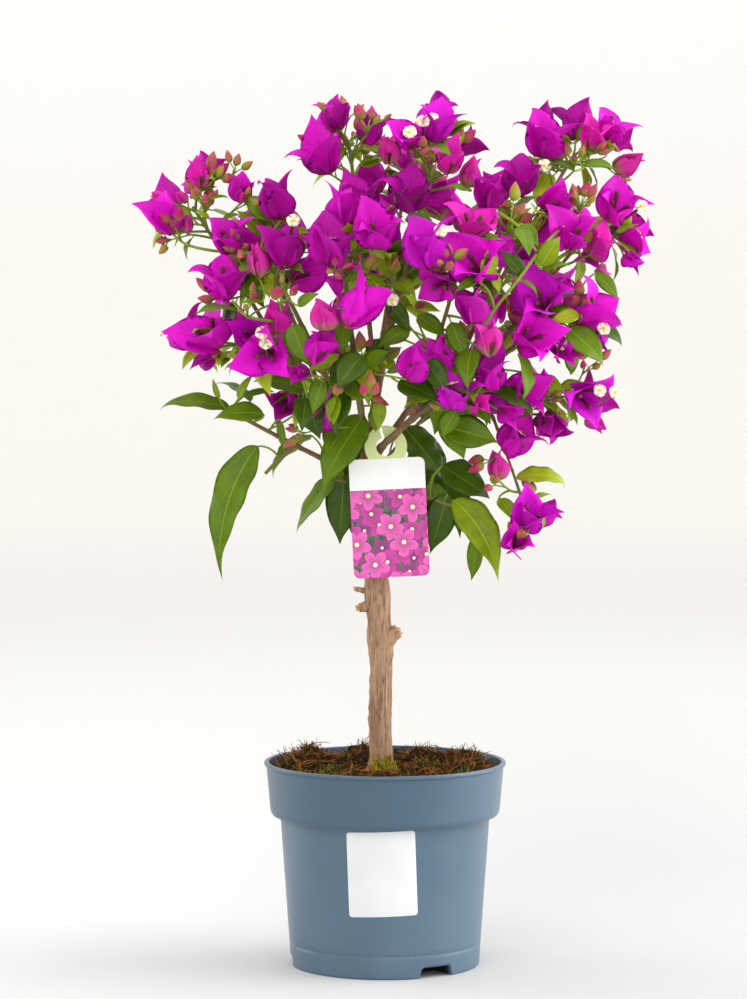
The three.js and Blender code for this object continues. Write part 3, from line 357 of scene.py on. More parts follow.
# ---- materials --------------------------------------------------------------------------------------------
class Surface:
    """A Principled material with its nodes."""

    def __init__(self, name, roughness, **sockets):
        self.material = bpy.data.materials.new(name)
        self.material.use_nodes = True
        self.tree = self.material.node_tree
        self.shader = self.tree.nodes["Principled BSDF"]
        self.shader.inputs["Roughness"].default_value = roughness
        for socket, value in sockets.items():
            self.shader.inputs[socket.replace("_", " ").title().replace("Ior", "IOR")].default_value = value

    def node(self, kind, **settings):
        made = self.tree.nodes.new("ShaderNode" + kind)
        for key, value in settings.items():
            setattr(made, key, value)
        return made

    def link(self, source, target):
        self.tree.links.new(source, target)

    def feed(self, socket, value):
        """A socket gets a number, a colour or another node's output."""
        if isinstance(value, bpy.types.NodeSocket):
            self.link(value, socket)
        else:
            socket.default_value = value

    def place(self, stretch=(1, 1, 1)):
        """Object coordinates in metres, stretched."""
        mapping = self.node("Mapping")
        mapping.inputs["Scale"].default_value = stretch
        self.link(self.node("TexCoord").outputs["Object"], mapping.inputs["Vector"])
        return mapping.outputs["Vector"]

    def parts(self, vector):
        """The x, y and z of a vector."""
        split = self.node("SeparateXYZ")
        self.link(vector, split.inputs[0])
        return split.outputs

    def joined(self, x, y):
        """A flat vector from two numbers."""
        made = self.node("CombineXYZ")
        self.link(x, made.inputs[0])
        self.link(y, made.inputs[1])
        return made.outputs[0]

    def length(self, vector):
        made = self.node("VectorMath", operation="LENGTH")
        self.link(vector, made.inputs[0])
        return made.outputs["Value"]

    def grown(self):
        """Across and along an organ, and its own number from 0 to 1."""
        return self.parts(self.node("Attribute", attribute_name="grown").outputs["Vector"])

    def noise(self, place, scale, detail=3, roughness=0.55, distortion=0):
        made = self.node("TexNoise")
        self.link(place, made.inputs["Vector"])
        made.inputs["Scale"].default_value = scale
        made.inputs["Detail"].default_value = detail
        made.inputs["Roughness"].default_value = roughness
        made.inputs["Distortion"].default_value = distortion
        return made.outputs["Fac"]

    def cells(self, place, scale, feature="F1"):
        """The distance to the nearest cell's middle, or to its edge."""
        made = self.node("TexVoronoi", feature=feature)
        self.link(place, made.inputs["Vector"])
        made.inputs["Scale"].default_value = scale
        return made.outputs["Distance"]

    def sum(self, kind, *values):
        """One step of arithmetic."""
        made = self.node("Math", operation=kind)
        for socket, value in zip(made.inputs, values):
            self.feed(socket, value)
        return made.outputs[0]

    def ramp(self, value, low, high, start=0.0, end=1.0):
        """Passes smoothly from start to end while the value rises from low to high."""
        made = self.node("MapRange", interpolation_type="SMOOTHSTEP")
        self.link(value, made.inputs["Value"])
        for socket, number in zip(("From Min", "From Max", "To Min", "To Max"), (low, high, start, end)):
            made.inputs[socket].default_value = number
        return made.outputs["Result"]

    def mix(self, share, first, second):
        """Two colours, mixed by the share of the second."""
        made = self.node("Mix", data_type="RGBA")
        self.feed(made.inputs["Factor"], share)
        for socket, value in (("A", first), ("B", second)):
            target = next(s for s in made.inputs if s.name == socket and s.type == "RGBA")
            self.feed(target, (*value, 1) if isinstance(value, tuple) else value)
        return next(s for s in made.outputs if s.type == "RGBA")

    def colour(self, value):
        self.link(value, self.shader.inputs["Base Color"])

    def rough(self, value, low, high):
        """The roughness follows a noise."""
        self.link(self.ramp(value, 0.3, 0.7, low, high), self.shader.inputs["Roughness"])

    def bump(self, *heights):
        """Each height is (value, strength, distance in metres)."""
        normal = None
        for value, strength, distance in heights:
            made = self.node("Bump")
            made.inputs["Strength"].default_value = strength
            made.inputs["Distance"].default_value = distance
            self.link(value, made.inputs["Height"])
            if normal:
                self.link(normal, made.inputs["Normal"])
            normal = made.outputs["Normal"]
        self.link(normal, self.shader.inputs["Normal"])


def rgb(red, green, blue):
    """A screen colour as linear light."""

    def linear(x):
        x /= 255
        return x / 12.92 if x <= 0.04045 else ((x + 0.055) / 1.055) ** 2.4
    return linear(red), linear(green), linear(blue)


def shade(colour, factor):
    return tuple(min(c * factor, 1) for c in colour)


# Scales of the patterns on leaves and bracts, per metre: patches of tone, uneven veins, and the net between.
MOTTLE, WOBBLE, NET = 90, 260, 900


def veined(name, base, vein, under_vein, count, slant, roughness, foot=None, foot_reach=0.2, **sockets):
    """A leaf or bract: a midrib, side veins that slant from it to the edge, and a net and a mottle between.

    under_vein is how strong the side veins are. With a foot colour and its reach, the midrib fades out.
    """
    surface = Surface(name, roughness, **sockets)
    across, along, own = surface.grown()
    aside = surface.sum("ABSOLUTE", across)
    place = surface.place()
    mottle = surface.noise(place, MOTTLE, 4)
    wobble = surface.noise(place, WOBBLE, 2)
    path = surface.sum("SUBTRACT", along, surface.sum("MULTIPLY", aside, slant))
    path = surface.sum("ADD", path, surface.sum("MULTIPLY", wobble, 0.05))
    teeth = surface.sum("PINGPONG", surface.sum("MULTIPLY", path, count), 0.5)
    side_veins = surface.ramp(teeth, 0.0, 0.1, 1, 0)
    midrib = surface.ramp(aside, 0.015, 0.065, 1, 0)
    if foot:
        midrib = surface.sum("MULTIPLY", midrib, surface.ramp(along, 0.2, 0.85, 0.9, 0.15))
    fine = surface.ramp(surface.cells(place, NET, "DISTANCE_TO_EDGE"), 0.0, 0.12, 0.35, 0)
    veins = surface.sum("MAXIMUM", midrib, surface.sum("MULTIPLY", side_veins, under_vein))
    veins = surface.sum("MAXIMUM", veins, surface.sum("MULTIPLY", fine, under_vein))
    body = surface.mix(surface.ramp(mottle, 0.35, 0.68), shade(base, 0.8), shade(base, 1.14))
    body = surface.mix(surface.ramp(own, 0.0, 1.0, 0.0, 0.35), body, shade(base, 1.35))
    body = surface.mix(veins, body, vein)
    if foot:
        reach = surface.sum("ADD", along, surface.sum("MULTIPLY", surface.sum("SUBTRACT", wobble, 0.5), 0.3))
        body = surface.mix(surface.ramp(reach, 0.0, foot_reach, 0.9, 0), body, foot)
    surface.colour(body)
    surface.rough(mottle, roughness - 0.07, roughness + 0.09)
    surface.bump((veins, 0.35, 0.0004), (wobble, 0.25, 0.0004))
    return surface.material


def plain(name, base, roughness, scale, strength, distance, spread, **sockets):
    """A soft uneven surface: petals, crumbs, fibres and cut wood. spread is how far its tones lie apart."""
    surface = Surface(name, roughness, **sockets)
    place = surface.place()
    mottle = surface.noise(place, scale, 4)
    own = surface.grown()[2]
    body = surface.mix(surface.ramp(mottle, 0.3, 0.7), shade(base, 1 - spread), shade(base, 1 + spread))
    surface.colour(surface.mix(surface.ramp(own, 0, 1, 0, 0.5), body, shade(base, 1 + 1.4 * spread)))
    surface.rough(mottle, roughness - 0.08, roughness + 0.1)
    surface.bump((mottle, strength, distance))
    return surface.material


def fading(name, foot, tip, roughness, low=0.15, high=0.8, **sockets):
    """A surface that passes from one colour at its foot to another at its tip."""
    surface = Surface(name, roughness, **sockets)
    _, along, own = surface.grown()
    mottle = surface.noise(surface.place(), WOBBLE, 4)
    reach = surface.sum("ADD", along, surface.sum("MULTIPLY", surface.sum("SUBTRACT", mottle, 0.5), 0.35))
    body = surface.mix(surface.ramp(reach, low, high), foot, tip)
    body = surface.mix(surface.ramp(mottle, 0.35, 0.7, 0, 0.35), body, shade(tip, 0.65))
    surface.colour(surface.mix(surface.ramp(own, 0, 1, 0, 0.3), body, shade(foot, 1.3)))
    surface.rough(mottle, roughness - 0.08, roughness + 0.1)
    surface.bump((mottle, 0.3, 0.0003))
    return surface.material


# Colours of the bracts, from the deep inner ones to the young pink ones: blade, veins and foot, and how far
# up the foot's colour reaches. Then blade and veins of the leaves.
BRACT_TONES = dict(
    deep=(rgb(178, 0, 156), rgb(124, 0, 80), rgb(112, 30, 50), 0.16),
    rich=(rgb(202, 0, 180), rgb(148, 0, 92), rgb(130, 40, 60), 0.18),
    bright=(rgb(220, 6, 200), rgb(176, 4, 120), rgb(150, 50, 70), 0.18),
    violet=(rgb(204, 6, 196), rgb(158, 4, 118), rgb(130, 40, 70), 0.16),
    warm=(rgb(220, 20, 176), rgb(236, 96, 170), rgb(150, 120, 60), 0.3),
    young=(rgb(216, 44, 164), rgb(170, 56, 104), rgb(144, 140, 56), 0.42),
)
LEAF_TONES = dict(
    dark=(rgb(54, 82, 0), rgb(94, 120, 10)),
    mid=(rgb(88, 118, 0), rgb(130, 154, 20)),
    fresh=(rgb(124, 148, 2), rgb(162, 182, 44)),
    lime=(rgb(154, 172, 16), rgb(186, 200, 76)),
)
BRACT_VEINS = dict(under_vein=0.34, count=7, slant=0.3, roughness=0.6)
LEAF_VEINS = dict(under_vein=0.26, count=6, slant=0.42, roughness=0.33)
UNDERLEAF_VEINS = dict(under_vein=0.5, count=6, slant=0.42, roughness=0.55)
UNDERLEAF_SHADE = 1.4  # the lower side of a leaf is paler
BRACT_GLOW = dict(subsurface_weight=0.25, subsurface_radius=(0.002, 0.0006, 0.002), specular_ior_level=0.2)
bract_materials = [
    veined(f"bract_{tone}", base, vein, foot=foot, foot_reach=reach, **BRACT_VEINS, **BRACT_GLOW)
    for tone, (base, vein, foot, reach) in BRACT_TONES.items()
]
leaf_materials = [
    veined(f"leaf_{tone}", base, vein, **LEAF_VEINS, specular_ior_level=0.24)
    for tone, (base, vein) in LEAF_TONES.items()
]
leaf_materials += [
    veined(f"underleaf_{tone}", shade(base, UNDERLEAF_SHADE), vein, **UNDERLEAF_VEINS,
           specular_ior_level=0.15)
    for tone, (base, vein) in LEAF_TONES.items()
]
twig_materials = [
    fading("twig_young", rgb(114, 134, 34), rgb(140, 166, 38), 0.55, specular_ior_level=0.3),
    fading("twig_woody", rgb(120, 92, 62), rgb(112, 126, 48), 0.7, 0.2, 0.95),
]
flower_materials = [
    fading("tube_maroon", rgb(120, 104, 44), rgb(96, 18, 54), 0.5, 0.05, 0.45, specular_ior_level=0.3),
    fading("bud_pink", rgb(142, 140, 42), rgb(180, 38, 98), 0.6, 0.0, 0.6, specular_ior_level=0.2),
    fading("bud_green", rgb(134, 152, 36), rgb(192, 80, 90), 0.6, 0.2, 1.0, specular_ior_level=0.2),
    plain("petal_cream", rgb(246, 240, 206), 0.5, 400, 0.3, 0.0002, 0.06),
    plain("petal_heart", rgb(226, 192, 70), 0.55, 500, 0.3, 0.0002, 0.15),
]


# ---- organs: sheets, stars, tubes and buds ----------------------------------------------------------------
def sheet_faces(rows, columns):
    """Faces of a thin closed sheet whose rows end in one point: upper side, lower side and foot."""
    width = columns + 1

    def upper(i, j):
        return i * width + j

    def lower(i, j):
        if j in (0, columns):
            return upper(i, j)
        return rows * width + i * (columns - 1) + j - 1

    tip = rows * width + rows * (columns - 1)
    faces = []
    for corner, near, far in ((upper, 0, 1), (lower, 1, 0)):  # the lower side runs the other way round
        for i in range(rows - 1):
            for j in range(columns):
                first, last = j + near, j + far
                faces.append((corner(i, first), corner(i, last), corner(i + 1, last), corner(i + 1, first)))
        for j in range(columns):
            faces.append((corner(rows - 1, j + near), corner(rows - 1, j + far), tip))
    above = len(faces) // 2
    faces.append([upper(0, j) for j in range(columns, -1, -1)] + [lower(0, j) for j in range(1, columns)])
    return faces, above


class Blade:
    """A kind of thin sheet with its own outline: round at the foot and drawn out to a point."""

    FOOT_WIDTH = 0.07  # as a share of the greatest width
    THIN_EDGE = 0.35  # how thick the sheet stays where its outline is narrow

    def __init__(self, rows, columns, foot, tip, thick, drawn=0.0):
        self.rows, self.columns, self.thick = rows, columns, thick
        self.faces, self.above = sheet_faces(rows, columns)
        spread = np.linspace(0, 1, rows + 1)
        closer = (1 - np.cos(np.pi * spread)) / 2  # rows crowd at the foot and the tip
        self.along = 0.5 * spread + 0.5 * closer
        outline = self.along**foot * (1 - self.along) ** tip * (1 - drawn * smoothstep(self.along, 0.6, 0.98))
        self.outline = outline / outline.max()
        self.outline[0] = self.FOOT_WIDTH
        self.across = np.linspace(-1, 1, columns + 1)

    def middle_line(self, base, along, up, side, length, bend, late, hook, sway):
        """The midrib, the way out of the sheet at each of its rows, and how far its sway turns each row."""
        turn = bend * self.along**late
        turn = turn + hook * smoothstep(self.along, 0.72, 1.0)
        steps = np.diff(self.along, prepend=0) * length
        middle = np.concatenate([[turn[0]], (turn[1:] + turn[:-1]) / 2])
        on = np.cumsum(np.cos(middle) * steps)
        down = np.cumsum(np.sin(middle) * steps)
        aside = sway * length * self.along**2
        centre = np.array(base[:]) + np.outer(on, along) - np.outer(down, up) + np.outer(aside, side)
        normal = np.outer(np.cos(turn), up) + np.outer(np.sin(turn), along)
        return centre, normal, np.arctan(2 * sway * self.along)

    def relief(self, x, width, fold, cup, wave, waves, phase):
        """How far each point stands off the flat: the fold at the midrib, the cup, and waves on the edges."""
        across = self.across[None, :]
        edge = np.abs(across) ** 2
        left = np.sin(2 * np.pi * waves * self.along + phase)[:, None]
        right = np.cos(2 * np.pi * waves * 0.8 * self.along + 2 * phase)[:, None]
        ripple = np.where(across < 0, left * edge, right * edge)
        return fold * np.abs(x) + cup * x**2 / width + wave * width * ripple * self.outline[:, None]

    def numbers(self, own):
        """Across, along and its own number, for every point."""
        grid = np.zeros((self.rows + 1, self.columns + 1, 3))
        grid[..., 0] = self.across[None, :]
        grid[..., 1] = self.along[:, None]
        grid[..., 2] = own
        return self.both_sides(grid, grid, np.array([[0, 1, own]]))

    def both_sides(self, top, bottom, tip):
        rows = self.rows
        return np.concatenate([top[:rows].reshape(-1, 3), bottom[:rows, 1:-1].reshape(-1, 3), tip])

    def shape(self, base, along, facing, length, width, own, bend=0.6, late=1.5, fold=0.25, cup=0.0,
              wave=0.05, waves=2.5, phase=0.0, twist=0.0, hook=0.0, sway=0.0, roll=0.0):
        """Points and growth numbers.

        bend turns the tip away from the side that faces, the later the larger late is, and hook turns its end
        more. sway curves the sheet within its own plane, roll turns it round its midrib, and twist turns it
        further towards its tip.
        """
        facing_up = square_to(along, facing)
        ahead, up, side = (np.array(v[:]) for v in (along, facing_up, along.cross(facing_up)))
        centre, normal, swing = self.middle_line(base, ahead, up, side, length, bend, late, hook, sway)
        roll = roll + twist * self.along
        flat_side = np.outer(np.cos(swing), side) - np.outer(np.sin(swing), ahead)
        sideways = flat_side * np.cos(roll)[:, None] + normal * np.sin(roll)[:, None]
        normal = normal * np.cos(roll)[:, None] - np.outer(np.sin(roll), side)
        half = self.outline * width / 2
        x = self.across[None, :] * half[:, None]
        z = self.relief(x, width, fold, cup, wave, waves, phase)
        flat = centre[:, None, :] + sideways[:, None, :] * x[..., None] + normal[:, None, :] * z[..., None]
        thin = np.minimum(1, self.THIN_EDGE + self.outline[:, None])
        lens = normal[:, None, :] * (self.thick / 2 * (1 - self.across[None, :] ** 2) * thin)[..., None]
        return self.both_sides(flat + lens, flat - lens, flat[-1, :1]), self.numbers(own)

    def materials(self, top, bottom):
        return [top] * self.above + [bottom] * (len(self.faces) - self.above)


BRACT = Blade(12, 6, 0.55, 1.0, 0.4, 0.5)
YOUNG_BRACT = Blade(8, 4, 0.55, 0.85, 0.5, 0.3)
GREEN_LEAF = Blade(10, 6, 0.6, 1.1, 0.5, 0.3)
LONG_LEAF = Blade(26, 8, 0.6, 1.15, 0.8, 0.5)
PETAL = Blade(3, 2, 0.6, 0.3, 0.35)


def grown_tube(points, radius_at, sides, own):
    """A closed tube with its growth numbers."""
    places, faces = tube(points, radius_at, sides)
    return places, faces, tube_numbers(np.linspace(0, 1, len(points)), sides, own)


def tube_numbers(shares, sides, own):
    along = np.concatenate([np.repeat(shares, sides), [0, 1]])
    return np.stack([np.zeros_like(along), along, np.full_like(along, own)], axis=1)


def hides_tag(points):
    """Whether something hangs over the tag's plate or ring."""
    beside, behind, above = 1, 3, 1
    near = np.abs(points[:, 0] - TAG["hole_x"]) < TAG["width"] / 2 + beside
    before = points[:, 1] < TAG["plane"] + behind
    return bool(np.any(near & before & (points[:, 2] < TAG["hole_z"] + TAG["ring"] + above)))


def leaning(axis, out, lean):
    """The direction that leans out from an axis, and the one square to it that faces the axis."""
    along = axis * math.cos(lean) + out * math.sin(lean)
    inward = axis * math.sin(lean) - out * math.cos(lean)
    return along.normalized(), inward.normalized()


SEEN_FROM = Vector((0, -1, 0.15))  # the way the open flowers of the front turn
FLOWER_TUBE = dict(radius=0.62, waist=0.2, open_end=1.2, shut_end=1.6, sides=7)
FLOWER = dict(lobes=5, reach=4.7, lobe_lift=0.22, lobe_width=1.15, heart=1.25, heart_taper=0.35)
BUD_SHARES = [0, 0.06, 0.16, 0.3, 0.46, 0.62, 0.76, 0.88, 0.97]  # where a bud's rings stand along it
BUD = dict(sides=9, round_foot=0.55, peak=0.4, least=0.2, ribs=0.2)  # peak: the greatest value of its curve
BRACTS = 3  # in a star
LEAST_AGE = 0.06  # a star younger than this is still shut


class Garden:
    """The piles that the organs of some masses go into, one for each kind."""

    def __init__(self, name):
        self.bracts = Pile(f"bracts_{name}", "blossom", bract_materials)
        self.leaves = Pile(f"leaves_{name}", "foliage", leaf_materials)
        self.twigs = Pile(f"twigs_{name}", "bough", twig_materials)
        self.flowers = Pile(f"flowers_{name}", "blossom", flower_materials)

    def bract(self, blade, base, along, facing, length, width, tone, own, **form):
        points, grown = blade.shape(base, along, facing, length, width, own, **form)
        self.bracts.add(points, blade.faces, f"bract_{tone}", grown)

    def leaf(self, blade, base, along, facing, length, width, tone, own, always=False, **form):
        """Adds a leaf unless it would hide the tag."""
        points, grown = blade.shape(base, along, facing, length, width, own, **form)
        if not always and hides_tag(points):
            return False
        self.leaves.add(points, blade.faces, blade.materials(f"leaf_{tone}", f"underleaf_{tone}"), grown)
        return True

    def twig(self, points, start, end, own, sides=7, material="twig_young"):
        """A twig whose radius passes from start to end."""
        places, faces, grown = grown_tube(points, lambda t: start + (end - start) * t, sides, own)
        self.twigs.add(places, faces, material, grown)

    def tube(self, base, along, side, length, is_open, own, seen=0.0):
        """A slim flower tube: waisted, a little swollen at its end, which is shut or bears a small star."""
        end = base + along * length + side * length * 0.12
        line = arch(base, base + along * length * 0.5 - side * length * 0.04, end, 8)
        radius, waist = FLOWER_TUBE["radius"], FLOWER_TUBE["waist"]
        swell = FLOWER_TUBE["open_end" if is_open else "shut_end"] - radius

        def radius_at(t):
            return radius + waist * math.sin(math.pi * t) + swell * t**4

        places, faces, grown = grown_tube(line.points, radius_at, FLOWER_TUBE["sides"], own)
        self.flowers.add(places, faces, "tube_maroon", grown)
        if is_open:
            self.flower(end, (line.along(1) + SEEN_FROM * seen).normalized(), own)

    def flower(self, base, axis, own):
        """Five notched cream lobes round a yellow throat."""
        first = square_to(axis, UP)
        other = axis.cross(first)
        reach = FLOWER["reach"]
        for k in range(FLOWER["lobes"]):
            out = turned(first, other, FULL_TURN * (k + own) / FLOWER["lobes"])
            along = (out + axis * FLOWER["lobe_lift"]).normalized()
            points, grown = PETAL.shape(
                base + axis * 0.5, along, axis, reach, reach * FLOWER["lobe_width"], own, bend=0.35, fold=0.1,
                wave=0.12, waves=1, phase=k)
            self.flowers.add(points, PETAL.faces, "petal_cream", grown)
        heart = [base + axis * height for height in (0.2, 0.9, 1.3)]
        wide, taper = FLOWER["heart"], FLOWER["heart_taper"]
        places, faces, grown = grown_tube(heart, lambda t: wide - taper * t, 8, own)
        self.flowers.add(places, faces, "petal_heart", grown)

    def bud(self, base, along, length, width, material, own):
        """A young star still shut: an egg drawn out to a blunt point, ribbed by its three folded bracts."""
        points = [base + along * length * t for t in BUD_SHARES]
        last = len(BUD_SHARES) - 1

        def radius_at(t):
            on = BUD_SHARES[min(int(round(t * last)), last)]
            return max(width / 2 * (on + 0.02) ** BUD["round_foot"] * (1 - on) / BUD["peak"], BUD["least"])

        def ribs(t, turn, _):
            return BUD["ribs"] * radius_at(t) * math.cos(BRACTS * turn + 1.5 * t)

        places, faces = tube(points, radius_at, BUD["sides"], ribs)
        self.flowers.add(places, faces, material, tube_numbers(BUD_SHARES, BUD["sides"], own))

    def trio(self, base, axis, random, length, age, tone, in_flower=False):
        """Three bracts round their flower tubes. Age runs from 0, nearly shut, to 1, wide open."""
        if age <= LEAST_AGE:
            self.young_trio(base, axis, random, length, tone)
            return
        first = round_twig(axis, random(0, FULL_TURN))
        other = axis.cross(first)
        opened = int(random(0, BRACTS))
        if random(0, 1) > 0.2 * age and not in_flower:
            opened = -1
        for k in range(BRACTS):
            out = turned(first, other, FULL_TURN * k / BRACTS + random(-0.16, 0.16))
            along, inward = leaning(axis, out, math.radians(8 + 22 * age + random(-5, 7)))
            own = random(0, 1)
            size = length * random(0.92, 1.12)
            self.bract(
                BRACT, base + out * 0.8, along, inward, size, size * random(0.68, 0.8), tone, own,
                bend=-0.15 + 0.95 * age + random(-0.15, 0.25), late=1.5,
                fold=0.36 - 0.16 * age + random(-0.06, 0.06), cup=random(0, 0.45),
                wave=random(0.015, 0.05), waves=random(1.2, 2.2), phase=random(0, 6.3),
                twist=random(-0.3, 0.3), hook=random(0.1, 1.4), roll=random(0.3, 0.5) * (1 - 0.7 * age),
            )
            tube_along, _ = leaning(axis, out, math.radians(4 + 11 * age))
            longer = 1.2 if in_flower and k == opened else 1
            reach = length * random(0.46, 0.58) * (0.7 + 0.3 * age) * longer
            self.tube(base + out * 1.1 + axis * 0.8, tube_along, out, reach, k == opened, own, in_flower)

    def young_trio(self, base, axis, random, length, tone):
        """A trio still shut, its bracts folded round each other."""
        first = round_twig(axis, random(0, FULL_TURN))
        other = axis.cross(first)
        for k in range(BRACTS):
            out = turned(first, other, FULL_TURN * k / BRACTS)
            along, inward = leaning(axis, out, math.radians(15 + random(-3, 4)))
            self.bract(
                YOUNG_BRACT, base + out * 0.7, along, inward, length, length * 0.62, tone, random(0, 1),
                bend=-0.5 + random(-0.1, 0.1), late=1.2, fold=0.4, cup=0.8, wave=0.02, phase=random(0, 6),
                hook=random(0.2, 0.9), roll=0.55,
            )


# ---- the crown, by the rule of the CAD source -------------------------------------------------------------
class Mass:
    """One mass of the crown: an egg-shaped space, cut off by a plane wherever a neighbour is near."""

    def __init__(self, row, index):
        self.name, at, half, self.shoots, self.blooms, self.leaves, self.buds, *rest = row
        self.leaf, self.bract, own = rest
        self.index = index
        self.centre, self.half = Vector(at), Vector(half)
        self.leaf_width = own.get("width", LEAF["width"])
        self.droop = own.get("droop", LEAF["droop"])
        self.planes = []

    def side(self, direction):
        """How far the uncut egg reaches in a direction."""
        return 1 / Vector([d / h for d, h in zip(direction, self.half)]).length

    def holds(self, point, margin=1.0):
        """Whether a point is in the space. The margin widens the egg, and not the planes."""
        away = Vector([(p - c) / h for p, c, h in zip(point, self.centre, self.half)])
        return away.length_squared <= margin**2 and all(n.dot(point) <= limit for n, limit in self.planes)

    def reach(self, direction):
        """How far the space reaches from its middle in a direction."""
        reach = self.side(direction)
        for normal, limit in self.planes:
            slope = normal.dot(direction)
            if slope > TINY:
                reach = min(reach, (limit - normal.dot(self.centre)) / slope)
        return reach

    def facing(self, point):
        """The way that the upper side of a leaf at a point turns."""
        aside = Vector((point.x * LEAF["sideways"], point.y - LEAF["turn_plane"], 0)).normalized()
        return aside * (0.3 + self.droop) + UP * (1 - self.droop)


masses = [Mass(row, index) for index, row in enumerate(MASS_ROWS)]
by_name = {mass.name: mass for mass in masses}
NEIGHBOUR = 1.2  # masses further apart than this many times their reach need no plane between them
for a, b in combinations(masses, 2):
    between = b.centre - a.centre
    distance = between.length
    between.normalize()
    reach_a, reach_b = a.side(between), b.side(between)
    if distance <= NEIGHBOUR * (reach_a + reach_b):
        share = distance * reach_a / (reach_a + reach_b)
        a.planes.append((between, between.dot(a.centre) + share - GAP))
        b.planes.append((-between, -between.dot(b.centre) + (distance - share) - GAP))

TRUNK_STEPS = 400  # how finely the stem is searched for a height
BOUGH_ENDS = (0.3, 0.9)  # the least and the greatest share of its way that belongs to the bough
trunk_way = spline(TRUNK["line"], 40)
trunk_points = trunk_way.stretch(0, 1, TRUNK_STEPS)


def trunk_point(height):
    return min(trunk_points, key=lambda p: abs(p.z - height))


def way_to(start, mass, lift, via=()):
    if via:
        return spline([start, *via, mass.centre])
    middle = start.lerp(mass.centre, 0.5) + UP * lift
    return arch(start, middle, mass.centre)


def bough_ways():
    """Each bough's way to the middle of its mass, and the share of it where the mass's stem takes over."""
    made = {}
    for name, parent, at, radius, lift, to, via in BOUGH_ROWS:
        mass = by_name[to]
        if parent == "trunk":
            start = trunk_point(at)
        else:
            above = made[parent]
            start = above["way"].at(at * above["end"])
        way = way_to(start, mass, lift, via)
        end, latest = BOUGH_ENDS
        while end < latest and not mass.holds(way.at(end)):
            end += 0.01
        made[name] = dict(way=way, end=end, radius=radius, tip=radius * BOUGH_TIP, to=to)
    return made


def give_stem(mass):
    """The stem of a mass goes on from its bough, or starts on another bough's side or at the trunk's head."""
    bough = next((w for w in ways.values() if w["to"] == mass.name), None)
    if bough:
        points = bough["way"].stretch(bough["end"], 1, 6)
        mass.stem_radius = bough["tip"]
    else:
        end = 1
        if mass.name in BOUGH_STEMS:
            parent, at, end = BOUGH_STEMS[mass.name]
            start = ways[parent]["way"].at(at * ways[parent]["end"])
        else:
            start = trunk_point(HEAD_STEMS[mass.name])
        points = way_to(start, mass, STEM["lift"]).stretch(0, end, 12)
        mass.stem_radius = STEM["radius"]
    mass.stem = Way(points)
    mass.entry = 0
    while mass.entry < 0.95 and not mass.holds(mass.stem.at(mass.entry)):
        mass.entry += 0.05
    mass.axis = mass.stem.along(1)
    mass.across = square_to(mass.axis, UP)
    mass.over = mass.axis.cross(mass.across)


ways = bough_ways()
for mass in masses:
    give_stem(mass)

# How far open the stars are, in most masses and in single ones.
USUAL_AGES = (0.2, 0.85)
AGES = dict(far_left=(0.3, 0.75), top_left=(0.25, 0.9), spray_low=(0.3, 0.6))
# The tones that stars and leaves are dealt: a tone that stands here twice comes twice as often.
TONES = ["rich", "bright", "deep", "bright", "violet", "rich", "bright", "warm", "rich", "deep"]
LEAF_DEAL = ["mid", "dark", "mid", "fresh", "mid", "dark", "lime", "mid"]
# The masses whose organs are joined into the same pieces.
GARDENS = dict(
    left=["far_left", "left_high", "left_low", "twig_left", "hang_left", "leaves_left"],
    top=["top_left", "top_mid", "middle", "back_top"],
    right=["top_right", "right_high", "right_far", "right_mid", "right_low", "spray_low", "leaves_right"],
    front=["front_left", "front_right", "front_low", "front_deep"],
    back=["back_left", "back_mid", "back_right", "back_low_left", "back_low_right", "leaves_back"],
)
